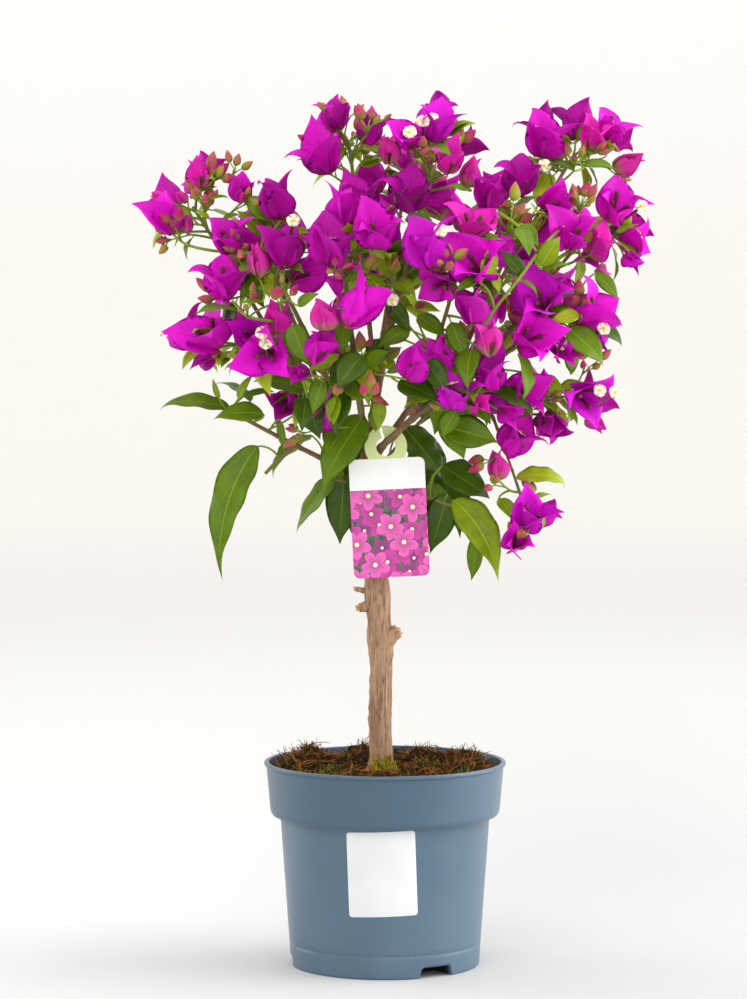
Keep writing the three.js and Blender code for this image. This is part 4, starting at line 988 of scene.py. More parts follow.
# Single leaves that can be told apart: foot, way, length, width as a share of it, tone, droop of the tip,
# sway within its own plane, and what it faces.
OWN_LEAVES = dict(
    hang_left=[((-80, 0, 328), (-0.62, -0.1, -0.76), 82, 0.28, "mid", 0.2, -0.42, (-0.3, -1, 0.25))],
    twig_left=[
        ((-97, -2, 351), (-0.95, -0.1, 0.35), 48, 0.28, "mid", 0.9, 0, (0, -0.7, 1)),
        ((-76, -18, 349), (-0.93, -0.3, 0.15), 33, 0.46, "mid", 0.8, 0, (-0.1, -0.9, 0.8)),
        ((-50, -30, 365), (-0.8, -0.3, 0.35), 36, 0.44, "mid", 1.1, 0, (-0.3, -1, 0.7)),
        ((-92, -8, 358), (0.35, -0.2, 0.9), 19, 0.35, "fresh", 0.6, 0, (-0.7, -0.8, 0.3)),
        ((-88, -8, 360), (0.9, -0.2, 0.3), 20, 0.3, "mid", 0.5, 0, (0, -0.8, 0.8)),
        ((-104, -4, 358), (-0.35, 0, 0.9), 14, 0.3, "fresh", 0.3, 0, (-0.5, -1, 0.2)),
        ((-66, -6, 345), (0.1, 0.1, -1), 22, 0.28, "mid", 0.3, 0, (-0.6, -1, 0.2)),
        ((-85, 5, 356), (-0.5, 0.5, 0.5), 34, 0.4, "mid", 0.6, 0, (-0.3, 0.4, 1)),
    ],
    leaves_left=[
        ((-13, -22, 348), (-0.6, -0.22, -0.76), 55, 0.46, "mid", 0.35, -0.08, (-0.35, -1, 0.35)),
        ((-32, -16, 310), (-0.6, -0.1, -0.78), 45, 0.34, "mid", 0.4, 0.1, (-0.8, -1, 0.4)),
        ((-26, -8, 312), (-0.04, -0.03, -1), 48, 0.44, "dark", 0.25, 0.04, (-0.15, -1, 0.25)),
        ((-24, 6, 340), (0.15, 0.3, -0.9), 52, 0.5, "dark", 0.5, 0, (0.1, 1, 0.4)),
        ((-47, 2, 335), (-0.8, 0.4, -0.5), 40, 0.45, "mid", 0.6, 0, (-0.6, 0.6, 0.6)),
        ((-20, -4, 336), (-0.3, -0.1, -0.9), 34, 0.5, "dark", 0.4, 0, (-0.2, -1, 0.3)),
    ],
    leaves_right=[
        ((39, -9, 298), (-0.26, -0.05, -0.95), 40, 0.5, "dark", 0.3, 0.04, (-0.1, -1, 0.3)),
        ((43, -14, 295), (0.72, -0.2, -0.6), 56, 0.42, "fresh", 0.3, 0.34, (0.3, -1, 0.4)),
        ((57, -6, 272), (-0.05, -0.1, -1), 30, 0.36, "mid", 0.3, 0, (0.3, -1, 0.2)),
        ((12, -4, 340), (0.62, 0.05, -0.74), 46, 0.46, "dark", 0.2, 0, (0.2, -1, 0.4)),
        ((36, -10, 316), (0.76, -0.2, -0.5), 38, 0.6, "dark", 0.4, -0.1, (0.2, -1, 0.5)),
        ((22, 2, 334), (0.3, 0.1, -0.95), 46, 0.5, "dark", 0.3, 0, (0.2, -1, 0.2)),
        ((35, 5, 314), (0.3, 0.4, -0.8), 50, 0.5, "dark", 0.4, 0, (0.3, 1, 0.4)),
        ((30, -2, 305), (0.15, -0.1, -0.95), 34, 0.5, "mid", 0.4, 0, (0, -1, 0.2)),
    ],
    spray_low=[
        ((82, -18, 309), (0.95, -0.1, 0.25), 38, 0.36, "lime", 1.3, 0, (0.2, -0.8, 1)),
        ((71, -16, 296), (0.4, -0.4, -0.4), 22, 0.45, "fresh", 0.6, 0, (0.1, -1, 0.6)),
    ],
    front_low=[
        ((-14, -84, 388), (-0.6, -0.45, -0.65), 27, 0.72, "dark", 0.4, 0, (-0.2, -1, 0.5)),
        ((-57, -70, 406), (0.35, -0.3, -0.9), 28, 0.58, "mid", 0.4, 0, (-0.2, -1, 0.3)),
        ((8, -70, 371), (0.8, -0.4, -0.25), 30, 0.58, "dark", 0.5, 0, (0, -0.9, 0.6)),
        ((-38, -68, 373), (-0.3, -0.4, -0.85), 24, 0.5, "mid", 0.4, 0, (-0.2, -1, 0.4)),
        ((-4, -48, 359), (0, -0.2, -1), 19, 0.5, "fresh", 0.3, 0, (0, -1, 0.2)),
        ((-6, -26, 353), (0, -0.1, -1), 15, 0.66, "mid", 0.2, 0, (0, -1, 0.2)),
        ((-50, -32, 363), (0.3, -0.3, -0.9), 32, 0.58, "dark", 0.4, 0, (-0.1, -1, 0.3)),
        ((-26, -60, 366), (-0.2, -0.4, -0.9), 30, 0.5, "dark", 0.4, 0, (-0.1, -1, 0.4)),
    ],
    front_deep=[
        ((39, -46, 342), (0.93, -0.2, -0.2), 33, 0.64, "mid", 0.4, 0, (0.1, -1, 0.4)),
        ((97, -35, 373), (0.7, -0.4, -0.4), 18, 0.5, "fresh", 0.5, 0, (0.2, -1, 0.5)),
        ((2, -50, 419), (0.5, -0.4, -0.6), 24, 0.5, "dark", 0.4, 0, (0, -1, 0.4)),
        ((14, -54, 403), (-0.6, -0.4, -0.3), 25, 0.5, "mid", 0.4, 0, (0, -1, 0.4)),
        ((20, -50, 411), (0.6, -0.4, -0.4), 24, 0.5, "mid", 0.4, 0, (0, -1, 0.5)),
        ((-4, -56, 397), (-0.3, -0.4, -0.8), 22, 0.5, "dark", 0.4, 0, (0, -1, 0.4)),
        ((24, -74, 384), (0.5, -0.5, -0.6), 26, 0.6, "dark", 0.5, 0, (0, -1, 0.5)),
    ],
    right_mid=[
        ((112, -50, 403), (0.75, -0.3, -0.55), 33, 0.6, "mid", 0.6, 0, (0.2, -1, 0.7)),
        ((119, -54, 412), (-0.8, -0.4, -0.1), 21, 0.5, "lime", 0.5, 0, (0, -0.9, 0.6)),
        ((130, -36, 437), (0.7, -0.2, -0.65), 22, 0.45, "mid", 0.5, 0, (0.3, -1, 0.4)),
    ],
    right_high=[
        ((83, -84, 467), (0.55, -0.4, -0.7), 17, 0.56, "mid", 0.4, 0, (0.2, -1, 0.3)),
        ((94, -80, 442), (0.5, -0.3, 0.8), 22, 0.62, "fresh", 0.3, 0, (0, -1, 0.2)),
        ((83, -86, 437), (-0.62, -0.3, 0.72), 20, 0.52, "dark", 0.3, 0, (-0.1, -1, 0.3)),
        ((95, -80, 440), (0.92, -0.3, 0.3), 18, 0.42, "mid", 0.5, 0, (0, -0.8, 0.8)),
    ],
    front_right=[
        ((55, -94, 434), (-0.7, -0.4, -0.3), 16, 0.46, "mid", 0.5, 0, (-0.1, -1, 0.5)),
        ((12, -80, 470), (0.9, -0.4, 0.1), 18, 0.5, "dark", 0.4, 0, (0, -0.9, 0.7)),
    ],
    top_right=[
        ((117, -34, 500), (-0.75, -0.4, 0.5), 20, 0.46, "dark", 1.0, 0, (0, -0.7, 1)),
        ((122, -34, 503), (0.9, -0.4, 0.25), 21, 0.44, "mid", 0.9, 0, (0, -0.7, 1)),
    ],
    top_mid=[
        ((6, -50, 484), (0.9, -0.4, 0.15), 18, 0.5, "dark", 0.5, 0, (0, -0.8, 0.9)),
        ((50, -56, 488), (-0.8, -0.3, 0.3), 14, 0.46, "mid", 0.5, 0, (0, -0.8, 0.9)),
    ],
    far_left=[
        ((-110, -24, 481), (0.8, -0.3, 0.55), 15, 0.34, "mid", 1.1, 0, (0, -0.6, 1)),
        ((-101, -24, 470), (0.7, -0.4, 0.4), 13, 0.4, "mid", 0.8, 0, (0, -0.8, 0.8)),
        ((-109, -24, 471), (-0.7, -0.4, 0.5), 11, 0.42, "fresh", 0.6, 0, (0, -0.8, 0.8)),
    ],
    left_high=[
        ((-75, -80, 420), (-0.85, -0.4, 0.15), 14, 0.42, "mid", 0.7, 0, (0, -0.8, 0.9)),
        ((-53, -90, 418), (0.6, -0.45, 0.55), 16, 0.48, "mid", 0.7, 0, (0, -0.9, 0.7)),
    ],
)
# Open flowers on their own tubes: foot, and the middle of the small star.
OWN_FLOWERS = dict(
    left_high=[((-60, -64, 451), (-56, -76, 469))],
    top_mid=[((19, -42, 508), (15, -54, 523)), ((24, -36, 515), (23, -44, 530))],
    front_right=[((29, -92, 448), (33, -104, 463))],
    front_low=[((1, -58, 406), (4, -72, 421))],
    left_low=[((-72, -62, 386), (-75, -76, 401))],
    top_right=[((94, -22, 496), (98, -36, 503))],
    right_far=[((146, -26, 468), (158, -34, 478))],
    right_mid=[((124, -42, 394), (134, -50, 403))],
    right_low=[((130, -48, 356), (141, -56, 364))],
)
# Green twigs that show across the crown, each through its points.
OWN_TWIGS = dict(
    right_high=[
        [(57, -86, 402), (66, -90, 416), (78, -90, 431), (95, -77, 453), (108, -58, 465), (119, -38, 473)],
        [(69, -82, 474), (80, -85, 466), (92, -80, 450)],
    ],
    front_right=[[(66, -90, 416), (61, -93, 428), (50, -92, 437)]],
    left_high=[[(-60, -50, 405), (-70, -66, 408), (-84, -66, 411), (-94, -50, 420)]],
    far_left=[[(-92, -20, 450), (-108, -22, 451), (-124, -22, 455), (-132, -22, 461)]],
    front_low=[[(-52, -36, 350), (-48, -56, 362), (-52, -66, 376)]],
)
# The stars that make the face of the crown: foot, axis, bract length, age and tone. True after these gives
# the star an open flower.
OWN_STARS = dict(
    far_left=[
        ((-132, -22, 461), (-0.4, -0.35, 0.85), 30, 0.4, "bright"),
        ((-115, -16, 489), (-0.1, -0.3, 1), 20, 0.15, "warm"),
        ((-123, -20, 461), (0, -0.2, 1), 13, 0.0, "young"),
        ((-90, -20, 480), (0.15, -0.4, 1), 22, 0.3, "rich"),
    ],
    left_high=[
        ((-64, -40, 470), (-0.2, -0.2, 1), 32, 0.4, "deep"),
        ((-94, -46, 449), (-0.15, -0.45, 0.9), 29, 0.6, "rich"),
        ((-99, -40, 420), (-0.1, -0.4, 1), 36, 0.7, "bright"),
        ((-62, -66, 440), (0, -0.4, 1), 34, 0.5, "deep"),
        ((-77, -70, 434), (-0.1, -0.3, 1), 23, 0.0, "young"),
    ],
    left_low=[
        ((-102, -42, 391), (-0.45, -0.5, 0.65), 37, 0.75, "bright"),
        ((-70, -56, 391), (-0.25, -1, -0.15), 30, 0.8, "bright", True),
        ((-66, -58, 400), (0, -0.35, 1), 24, 0.3, "warm"),
    ],
    top_left=[
        ((-34, -20, 498), (-0.45, -0.3, 0.85), 36, 0.6, "rich"),
        ((-28, -12, 526), (-0.2, -0.3, 1), 22, 0.3, "deep"),
        ((-14, -30, 468), (-0.1, -0.3, 1), 38, 0.5, "rich"),
    ],
    top_mid=[
        ((28, -28, 518), (0.3, -0.3, 0.9), 30, 0.6, "violet"),
        ((18, -40, 514), (-0.3, -0.6, 0.8), 24, 0.7, "bright"),
        ((2, -40, 504), (0, -0.4, 1), 20, 0.1, "young"), ((38, -42, 498), (0.1, -0.6, 0.8), 25, 0.5, "warm"),
        ((50, -36, 490), (0.3, -0.3, 1), 21, 0.0, "young"),
        ((14, -44, 474), (0.1, -0.5, 0.9), 32, 0.5, "deep"),
    ],
    top_right=[
        ((98, -14, 508), (0.15, -0.4, 0.95), 38, 0.55, "rich"),
        ((127, -12, 514), (0.25, -0.4, 0.9), 23, 0.4, "warm"),
        ((142, -6, 502), (0.95, -0.3, 0.35), 22, 0.05, "young"),
        ((84, -28, 484), (0, -0.4, 1), 29, 0.5, "deep"),
    ],
    right_high=[
        ((63, -58, 476), (-0.1, -0.4, 1), 27, 0.4, "deep"),
        ((112, -52, 452), (0.1, -0.6, 0.8), 30, 0.6, "rich"),
    ],
    right_far=[
        ((139, -20, 469), (0.35, -0.5, 0.75), 33, 0.75, "bright"),
        ((126, -26, 448), (0.5, -0.5, 0.6), 26, 0.5, "warm"),
    ],
    right_mid=[
        ((98, -58, 414), (-0.2, -0.8, 0.6), 33, 0.65, "violet"),
        ((118, -40, 406), (0.75, -0.4, 0.55), 36, 0.7, "bright"),
        ((80, -58, 394), (0.6, -0.7, 0.3), 33, 0.7, "bright"),
    ],
    right_low=[
        ((117, -32, 364), (0.5, -0.8, -0.25), 32, 0.8, "violet", True),
        ((73, -34, 327), (0.65, -0.5, 0.6), 33, 0.45, "rich"),
        ((74, -38, 360), (0.75, -0.6, 0.2), 31, 0.6, "bright"),
    ],
    spray_low=[
        ((86, -26, 277), (0.3, -0.55, 0.75), 33, 0.5, "violet"),
        ((80, -24, 264), (0.1, -0.75, 0.4), 25, 0.45, "bright"),
        ((71, -26, 308), (-0.1, -0.2, 1), 20, 0.0, "young"),
    ],
    front_left=[
        ((-24, -98, 405), (0.5, 0.2, 0.85), 39, 0.45, "bright"),
        ((-34, -88, 441), (0.15, -0.4, 1), 35, 0.45, "deep"),
        ((-35, -92, 403), (-0.1, -0.4, 1), 21, 0.2, "young"),
        ((-45, -84, 384), (0.5, -0.5, 0.8), 26, 0.3, "rich"),
        ((-4, -90, 452), (-0.1, -0.6, 0.9), 33, 0.6, "rich"),
    ],
    front_right=[
        ((60, -84, 434), (-0.3, -0.75, 0.7), 39, 0.7, "bright"),
        ((28, -92, 440), (-0.1, -0.35, 1), 38, 0.4, "violet"),
        ((52, -92, 407), (-0.1, -0.4, 1), 27, 0.35, "deep"),
        ((63, -84, 387), (0, -0.4, 1), 22, 0.15, "young"),
    ],
    front_low=[
        ((13, -82, 373), (0.4, -0.4, 0.9), 25, 0.2, "rich"),
        ((-43, -30, 340), (0.5, -0.3, 0.6), 20, 0.2, "bright"),
    ],
    front_deep=[
        ((42, -78, 354), (0, -0.5, 0.9), 29, 0.6, "violet"), ((65, -70, 366), (0, -0.4, 1), 25, 0.4, "rich"),
    ],
)
# Clusters of buds that show against the sky or between the stars: foot, way, count and bud length.
OWN_BUDS = dict(
    far_left=[((-112, -16, 474), (-0.1, -0.2, 1), 8, 10)],
    left_high=[((-63, -80, 415), (0, -0.4, 1), 4, 11), ((-84, -70, 410), (-0.2, -0.4, 1), 3, 10)],
    top_left=[((-12, -18, 522), (0.2, -0.2, 1), 6, 10)],
    top_right=[((117, -16, 500), (0.1, -0.3, 1), 5, 9)],
    right_high=[((76, -72, 466), (0, -0.5, 0.9), 2, 13)],
    right_far=[((119, -38, 473), (0.2, -0.4, 0.9), 10, 10)],
    right_low=[((122, -30, 374), (0.5, -0.5, 0.6), 5, 9)],
    front_low=[((-10, -86, 358), (-0.2, -0.5, 0.9), 3, 13)],
)
# Stars over the count of the source's rule, or under it where its stars already stand close.
EXTRA_STARS = dict(
    far_left=1, spray_low=1, top_mid=1, front_left=-2, front_right=-1, middle=-3, left_high=-1, right_high=-1,
    right_mid=-1, top_left=-1, back_mid=-1,
)


SEEDS = dict(mass=7919, shoot=104729, attempt=15485863, add=17)  # a star's own stream, as in the source
GROWTH_SEEDS = dict(mass=1013, add=5)  # the stream of all that a mass grows here
STAR_TRIES = 60  # how often a star's place is tried, each time further from the spiral
STAR_REACHES = (0.92, 0.8, 0.68, 0.56, 0.44, 0.32)  # where along a mass's reach a star may stand
STAR_HEIGHT, STAR_SPREAD, STAR_MIDDLE = 0.72, 0.69, 0.4  # its tips and its middle, by its bract length
STAR_MARGIN = 1.04  # a star's tips may pass the egg of their mass by this factor
CROWDING = 0.4  # how near two stars may come, as a share of their bract lengths together
CROWDING_SIDE = 0.38  # the same for the smaller stars of side twigs
LEAF_SHARE = 0.78  # how many of the source's leaves are dealt by rule beside the placed ones
BUD_LENGTH = 11
THIN_TWIG, THIN_TIP = 0.55, 0.5
LONG, VERY_LONG = 28, 80  # leaves longer than this get more faces, or more wave

stars = []  # the middle and bract length of every star so far, over the whole crown


def clear(middle, length, crowding=CROWDING):
    return all((middle - other).length > crowding * (length + size) for other, size in stars)


def pick(random, things):
    return things[int(random(0, len(things)))]


def shoot_direction(mass, share, turn):
    polar = math.acos(1 - share * SHOOT["spread"])
    return mass.axis * math.cos(polar) + turned(mass.across, mass.over, turn) * math.sin(polar)


def try_star(mass, k, attempt, parent, is_side):
    """The way, the axis, the bract length and the middle of a shoot's star, or None where it has no room."""
    seed = mass.index * SEEDS["mass"] + k * SEEDS["shoot"] + attempt * SEEDS["attempt"] + SEEDS["add"]
    random = chance(seed)
    wander = attempt / STAR_TRIES
    share = min(max((k + 0.5) / mass.shoots + random(-1, 1) * wander, 0), 1)
    spiral = k * GOLDEN + mass.index + random(-1, 1) * 6 * wander
    direction = shoot_direction(mass, share, spiral)
    at = random(0.3, 0.8) if is_side else SHOOT["highest"] - SHOOT["span"] * share * (1 - mass.entry)
    size = random(0.86, 1.06) * (1 - 0.25 * wander)
    length = mass.bract * size
    random(-1, 1)  # how far open the source's star is, which is dealt in another way here
    turn = random(0, FULL_TURN)
    axis = (direction * 0.7 + stray(random) * 0.25 + UP * 0.45).normalized()
    start = parent.at(at)
    reach = mass.reach(direction)
    side = round_twig(axis, turn)
    other = axis.cross(side)
    for part in STAR_REACHES:
        end = mass.centre + direction * reach * part
        top = end + axis * STAR_HEIGHT * length
        turns = (FULL_TURN * i / BRACTS for i in range(BRACTS))
        tips = [top + turned(side, other, t) * STAR_SPREAD * length for t in turns]
        middle = end + axis * STAR_MIDDLE * length
        if all(mass.holds(tip, STAR_MARGIN) for tip in tips) and clear(middle, length):
            bend = start + parent.along(at) * SHOOT["bend"] * (end - start).length
            return arch(start, bend, end, 10), axis, length, middle
    return None


def small_leaf(garden, mass, way, at, turn, length, tone, random, droop=None):
    """A leaf on its own stalk, on the side of a twig."""
    point, onward = way.at(at), way.along(at)
    droop = mass.droop if droop is None else droop
    outward = (point - CROWN_MIDDLE).normalized()
    hang = Vector((outward.x * LEAF["hang_out"], outward.y * LEAF["hang_out"], -1))
    out = (round_twig(onward, turn) + onward * 0.5 + outward * 0.25).normalized()
    along = out.lerp(hang, droop).normalized()
    stalk = length * random(0.12, 0.2)
    foot = point + out * stalk * 0.6 + along * stalk * 0.4
    facing = mass.facing(point) + stray(random) * 0.35
    own = random(0, 1)
    made = garden.leaf(
        GREEN_LEAF, foot, along, facing, length, length * mass.leaf_width * random(0.85, 1.12), tone, own,
        bend=random(0.25, 1.0), fold=random(0.12, 0.35), wave=random(0.02, 0.06), waves=random(1.2, 2.2),
        phase=random(0, 6.3), twist=random(-0.35, 0.35), hook=random(-0.2, 0.7),
    )
    if made:
        stem = arch(point, point + out * stalk * 0.6, foot, 4)
        garden.twig(stem.points, THIN_TWIG, 0.4, own, 5)


def side_way(mass, foot):
    """The twig to a placed star: it leaves the stem of the mass below the star and bends up to it."""
    share = min((i / 20 for i in range(21)), key=lambda t: (mass.stem.at(t) - foot + UP * 12).length)
    start = mass.stem.at(share)
    run = (foot - start).length
    return arch(start, start.lerp(foot, 0.5) + mass.stem.along(share) * run * 0.2 - UP * run * 0.12, foot, 10)


def bud_cluster(garden, point, along, random, count, length=BUD_LENGTH, shortest=3, longest=9):
    """Buds on their own short stalks, spread round a twig's tip."""
    for k in range(count):
        out = round_twig(along, k * GOLDEN * 2 + random(-0.4, 0.4))
        way = (along * random(0.6, 1.4) + out * random(0.5, 1.0) + UP * 0.3).normalized()
        stalk = random(shortest, longest)
        foot = point + way * stalk
        own = random(0, 1)
        garden.twig([point, point + (way + along).normalized() * stalk * 0.5, foot], 0.5, 0.42, own, 5)
        size = length * random(0.6, 1.15)
        kind = "bud_pink" if random(0, 1) < 0.6 else "bud_green"
        garden.bud(foot - way * 0.4, way, size, size * random(0.52, 0.64), kind, own)


def placed_organs(garden, mass, random):
    """The stars, open flowers, twigs and buds with their own places. Returns the twigs that carry more."""
    shoots = []
    for foot, axis, length, age, tone, *in_flower in OWN_STARS.get(mass.name, ()):
        way = side_way(mass, Vector(foot))
        garden.twig(way.points, 0.9, SHOOT["tip"], random(0, 1))
        shoots.append(way)
        garden.trio(Vector(foot), Vector(axis).normalized(), random, length, age, tone, bool(in_flower))
    for foot, end in OWN_FLOWERS.get(mass.name, ()):
        way = Vector(end) - Vector(foot)
        garden.tube(Vector(foot), way.normalized(), Vector(), way.length, True, random(0, 1), 1.6)
    for points in OWN_TWIGS.get(mass.name, ()):
        way = spline(points, 16)
        garden.twig(way.points, 1.1, 0.8, random(0, 1), 8)
        shoots.append(way)
    for foot, axis, count, length in OWN_BUDS.get(mass.name, ()):
        way = side_way(mass, Vector(foot))
        garden.twig(way.points, 0.8, 0.6, random(0, 1))
        bud_cluster(garden, Vector(foot), Vector(axis).normalized(), random, count, length, 6, 17)
    return shoots


def ruled_shoots(garden, mass, random, shoots):
    """Shoots in the source's spiral, each with a star while the mass is short of stars, and then two buds."""
    ages = AGES.get(mass.name, USUAL_AGES)
    blooms = len(OWN_STARS.get(mass.name, ()))
    for k in range(max(mass.shoots, mass.blooms)):
        is_side = k >= mass.shoots and bool(shoots)
        parent = shoots[k % len(shoots)] if is_side else mass.stem
        tries = (try_star(mass, k, attempt, parent, is_side) for attempt in range(STAR_TRIES))
        made = next((found for found in tries if found), None)
        if not made:
            continue
        way, axis, length, middle = made
        garden.twig(way.points, SHOOT["side_radius" if is_side else "radius"], SHOOT["tip"], random(0, 1))
        shoots.append(way)
        if blooms < mass.blooms + EXTRA_STARS.get(mass.name, 0):
            stars.append((middle, length))
            tone = pick(random, TONES)
            garden.trio(way.at(1), axis, random, length * 0.98, random(*ages), tone)
            blooms += 1
        else:
            bud_cluster(garden, way.at(1), axis, random, 2)
        for _ in range(2):
            side_twig(garden, mass, way, random, length, ages)
        for _ in range(2):
            under_leaf(garden, mass, way, random)


def side_twig(garden, mass, way, random, length, ages):
    """A finer twig of a shoot, with a smaller star, a shut one or a few buds, if there is room."""
    at = random(0.45, 0.92)
    turn = random(0, FULL_TURN)
    point, onward = way.at(at), way.along(at)
    out = (round_twig(onward, turn) + onward * random(0.4, 1.1) + UP * 0.2).normalized()
    run = random(9, 24)
    size = length * random(0.62, 0.92)
    end = point + out * run
    axis = (out + onward * 0.4 + (end - CROWN_MIDDLE).normalized() * 0.3).normalized()
    kind = random(0, 1)
    middle = end + axis * STAR_MIDDLE * size
    path = arch(point, point + (out + onward * 0.5) * run * 0.45, end, 6)
    if kind < 0.27 and mass.holds(end + axis * size * 0.8, 1.06) and clear(middle, size, CROWDING_SIDE):
        garden.twig(path.points, 0.72, THIN_TWIG, random(0, 1), 6)
        stars.append((middle, size))
        tone = pick(random, TONES)
        garden.trio(end, axis, random, size, random(ages[0] * 0.6, ages[1] * 0.8), tone)
    elif kind < 0.52 and mass.holds(end + axis * 12, 1.06):
        garden.twig(path.points, 0.65, THIN_TIP, random(0, 1), 6)
        if random(0, 1) < 0.6:
            garden.young_trio(end, axis, random, size * random(0.45, 0.7), "young")
        else:
            bud_cluster(garden, end, axis, random, 1 + int(random(0, 3)), 10)


def under_leaf(garden, mass, way, random):
    """A small young leaf close under a star."""
    at = random(0.7, 0.97)
    turn = random(0, FULL_TURN)
    length = random(13, 24)
    tone = "lime" if random(0, 1) < 0.4 else "fresh"
    small_leaf(garden, mass, way, at, turn, length, tone, random, 0.1)


def placed_leaves(garden, mass, random, ways):
    """The leaves that have a place of their own, each on a stalk from the nearest twig."""
    carriers = [way.at(i / 20) for way in ways for i in range(21)]
    for foot, along, length, width, tone, bend, sway, facing in OWN_LEAVES.get(mass.name, ()):
        base = Vector(foot)
        along = Vector(along).normalized()
        nearest = min(carriers, key=lambda p: (p - base).length + 0.4 * max(base.z - p.z, 0))
        stalk = arch(nearest, nearest.lerp(base, 0.6) - along * (base - nearest).length * 0.3, base, 10)
        garden.twig(stalk.points, 0.75, 0.6, random(0, 1))
        large = smoothstep(length, LONG, 40)
        wave = 0.03 + 0.02 * large + 0.03 * (length > VERY_LONG)
        garden.leaf(
            LONG_LEAF if length > LONG else GREEN_LEAF, base, along, Vector(facing), length, length * width,
            tone, random(0, 1), bend=bend, late=1.3, fold=random(0.16, 0.3), wave=wave,
            waves=random(1.4, 2.0) * (1 + large), phase=random(0, 6), twist=random(-0.3, 0.3),
            hook=random(0.2, 0.8), sway=sway, always=True,
        )


def grow(garden, mass):
    """The stem of a mass, its shoots with their stars, side twigs, leaves and buds."""
    random = chance(mass.index * GROWTH_SEEDS["mass"] + GROWTH_SEEDS["add"])
    garden.twig(mass.stem.points, mass.stem_radius, STEM["tip"], random(0, 1), 8, "twig_woody")
    shoots = placed_organs(garden, mass, random)
    if mass.blooms:
        ruled_shoots(garden, mass, random, shoots)
    placed_leaves(garden, mass, random, [mass.stem, *shoots])
    if mass.name in OWN_LEAVES and not mass.blooms:
        return
    carriers = shoots or [mass.stem]
    for k in range(int(mass.leaves * LEAF_SHARE)):
        way = carriers[k % len(carriers)]
        at = random(0.08, 0.85)
        size = mass.leaf * random(0.4, 0.85)
        tone = pick(random, LEAF_DEAL)
        small_leaf(garden, mass, way, at, k * GOLDEN * 2, size, tone, random)
    for k in range(mass.buds):
        way = carriers[(k + 1) % len(carriers)]
        at = random(0.6, 0.9)
        out = (round_twig(way.along(at), random(0, 6.3)) + way.along(at) + UP * 0.4).normalized()
        foot = way.at(at) + out * random(6, 14)
        garden.twig([way.at(at), foot], THIN_TWIG, THIN_TIP, random(0, 1), 5)
        bud_cluster(garden, foot, out, random, 2 + int(random(0, 3)))


for rows in OWN_STARS.values():
    for foot, axis, length, *_ in rows:
        stars.append((Vector(foot) + Vector(axis).normalized() * STAR_MIDDLE * length, length))
for garden_name, members in GARDENS.items():
    garden = Garden(garden_name)
    for name in members:
        grow(garden, by_name[name])
    garden.leaves.build([f"mass_{name}" for name in members])
    garden.bracts.build()
    garden.twigs.build()
    garden.flowers.build()


# ---- pot --------------------------------------------------------------------------------------------------
def rounded(outline, radii, steps=6):
    """An outline of (radius, height) points with some of its corners rounded."""
    most = 0.49  # of the way to the next corner
    line = []
    for i, point in enumerate(outline):
        here = Vector(point)
        if i not in radii:
            line.append(here)
            continue
        before, after = Vector(outline[i - 1]) - here, Vector(outline[i + 1]) - here
        first = here + before.normalized() * min(radii[i], before.length * most)
        last = here + after.normalized() * min(radii[i], after.length * most)
        for k in range(steps + 1):
            t = k / steps
            line.append(first * (1 - t) ** 2 + here * 2 * t * (1 - t) + last * t * t)
    return line


def filled_in(line, longest):
    """The same line with long steps cut up, so that no face is much longer than the others."""
    full = [line[0]]
    for a, b in zip(line, line[1:]):
        cuts = max(1, math.ceil((b - a).length / longest))
        full += [a.lerp(b, (i + 1) / cuts) for i in range(cuts)]
    return full


def lathe(line, sides):
    """Points and faces of a solid of revolution; the line starts and ends on the axis."""
    inner = line[1:-1]
    points = [(x, y, p[1]) for p in inner for x, y in circle(p[0], sides)]
    foot, top = len(points), len(points) + 1
    points += [(0, 0, line[0][1]), (0, 0, line[-1][1])]
    faces = ring_faces(len(inner), sides)
    return points, faces + fan(foot, 0, sides, True) + fan(top, foot - sides, sides)


def carve(target, tool):
    """Cuts the tool out of the target, and removes the tool."""
    change = target.modifiers.new("carve", "BOOLEAN")
    change.operation = "DIFFERENCE"
    change.solver = "EXACT"
    change.object = tool
    graph = bpy.context.evaluated_depsgraph_get()
    mesh = bpy.data.meshes.new_from_object(target.evaluated_get(graph))
    target.modifiers.clear()
    old = target.data
    target.data = mesh
    bpy.data.meshes.remove(old)
    bpy.data.objects.remove(tool)


def notch_tool(angle):
    """A bar with a trapezoid section and cut upper corners, run in from the pot's wall."""
    width, top, height = NOTCH["width"], NOTCH["top_width"], NOTCH["height"]
    below, cut, cut_out = 2, 1.2, 0.3
    right = [(width / 2, -below), (top / 2 + cut_out, height - cut), (top / 2 - cut, height)]
    section = [(-width / 2, -below), *right, *[(-x, z) for x, z in right[:0:-1]]]
    turn = Matrix.Rotation(math.radians(angle), 3, "Z")
    reach = (POT["foot"] - NOTCH["depth"], POT["lip"])
    points = [turn @ Vector((x, -away, z)) for away in reach for x, z in section]
    count = len(section)
    mesh = bpy.data.meshes.new("tool")
    faces = [list(range(count)), list(range(2 * count - 1, count - 1, -1))]
    faces += [(i, i + count, (i + 1) % count + count, (i + 1) % count) for i in range(count)]
    mesh.from_pydata([tuple(p * MM) for p in points], [], faces)
    shape = bmesh.new()
    shape.from_mesh(mesh)
    bmesh.ops.recalc_face_normals(shape, faces=shape.faces)
    shape.to_mesh(mesh)
    shape.free()
    made = bpy.data.objects.new("tool", mesh)
    bpy.context.scene.collection.objects.link(made)
    return made


POT_LIGHT, POT_SHADE, POT_SCRATCH = rgb(88, 111, 130), rgb(78, 101, 120), rgb(126, 148, 168)
POT_COLLAR_PAINTED_SHADE, POT_HOLLOW_PAINTED_SHADE, POT_DUST = rgb(66, 90, 108), rgb(20, 24, 26), rgb(70, 66, 58)
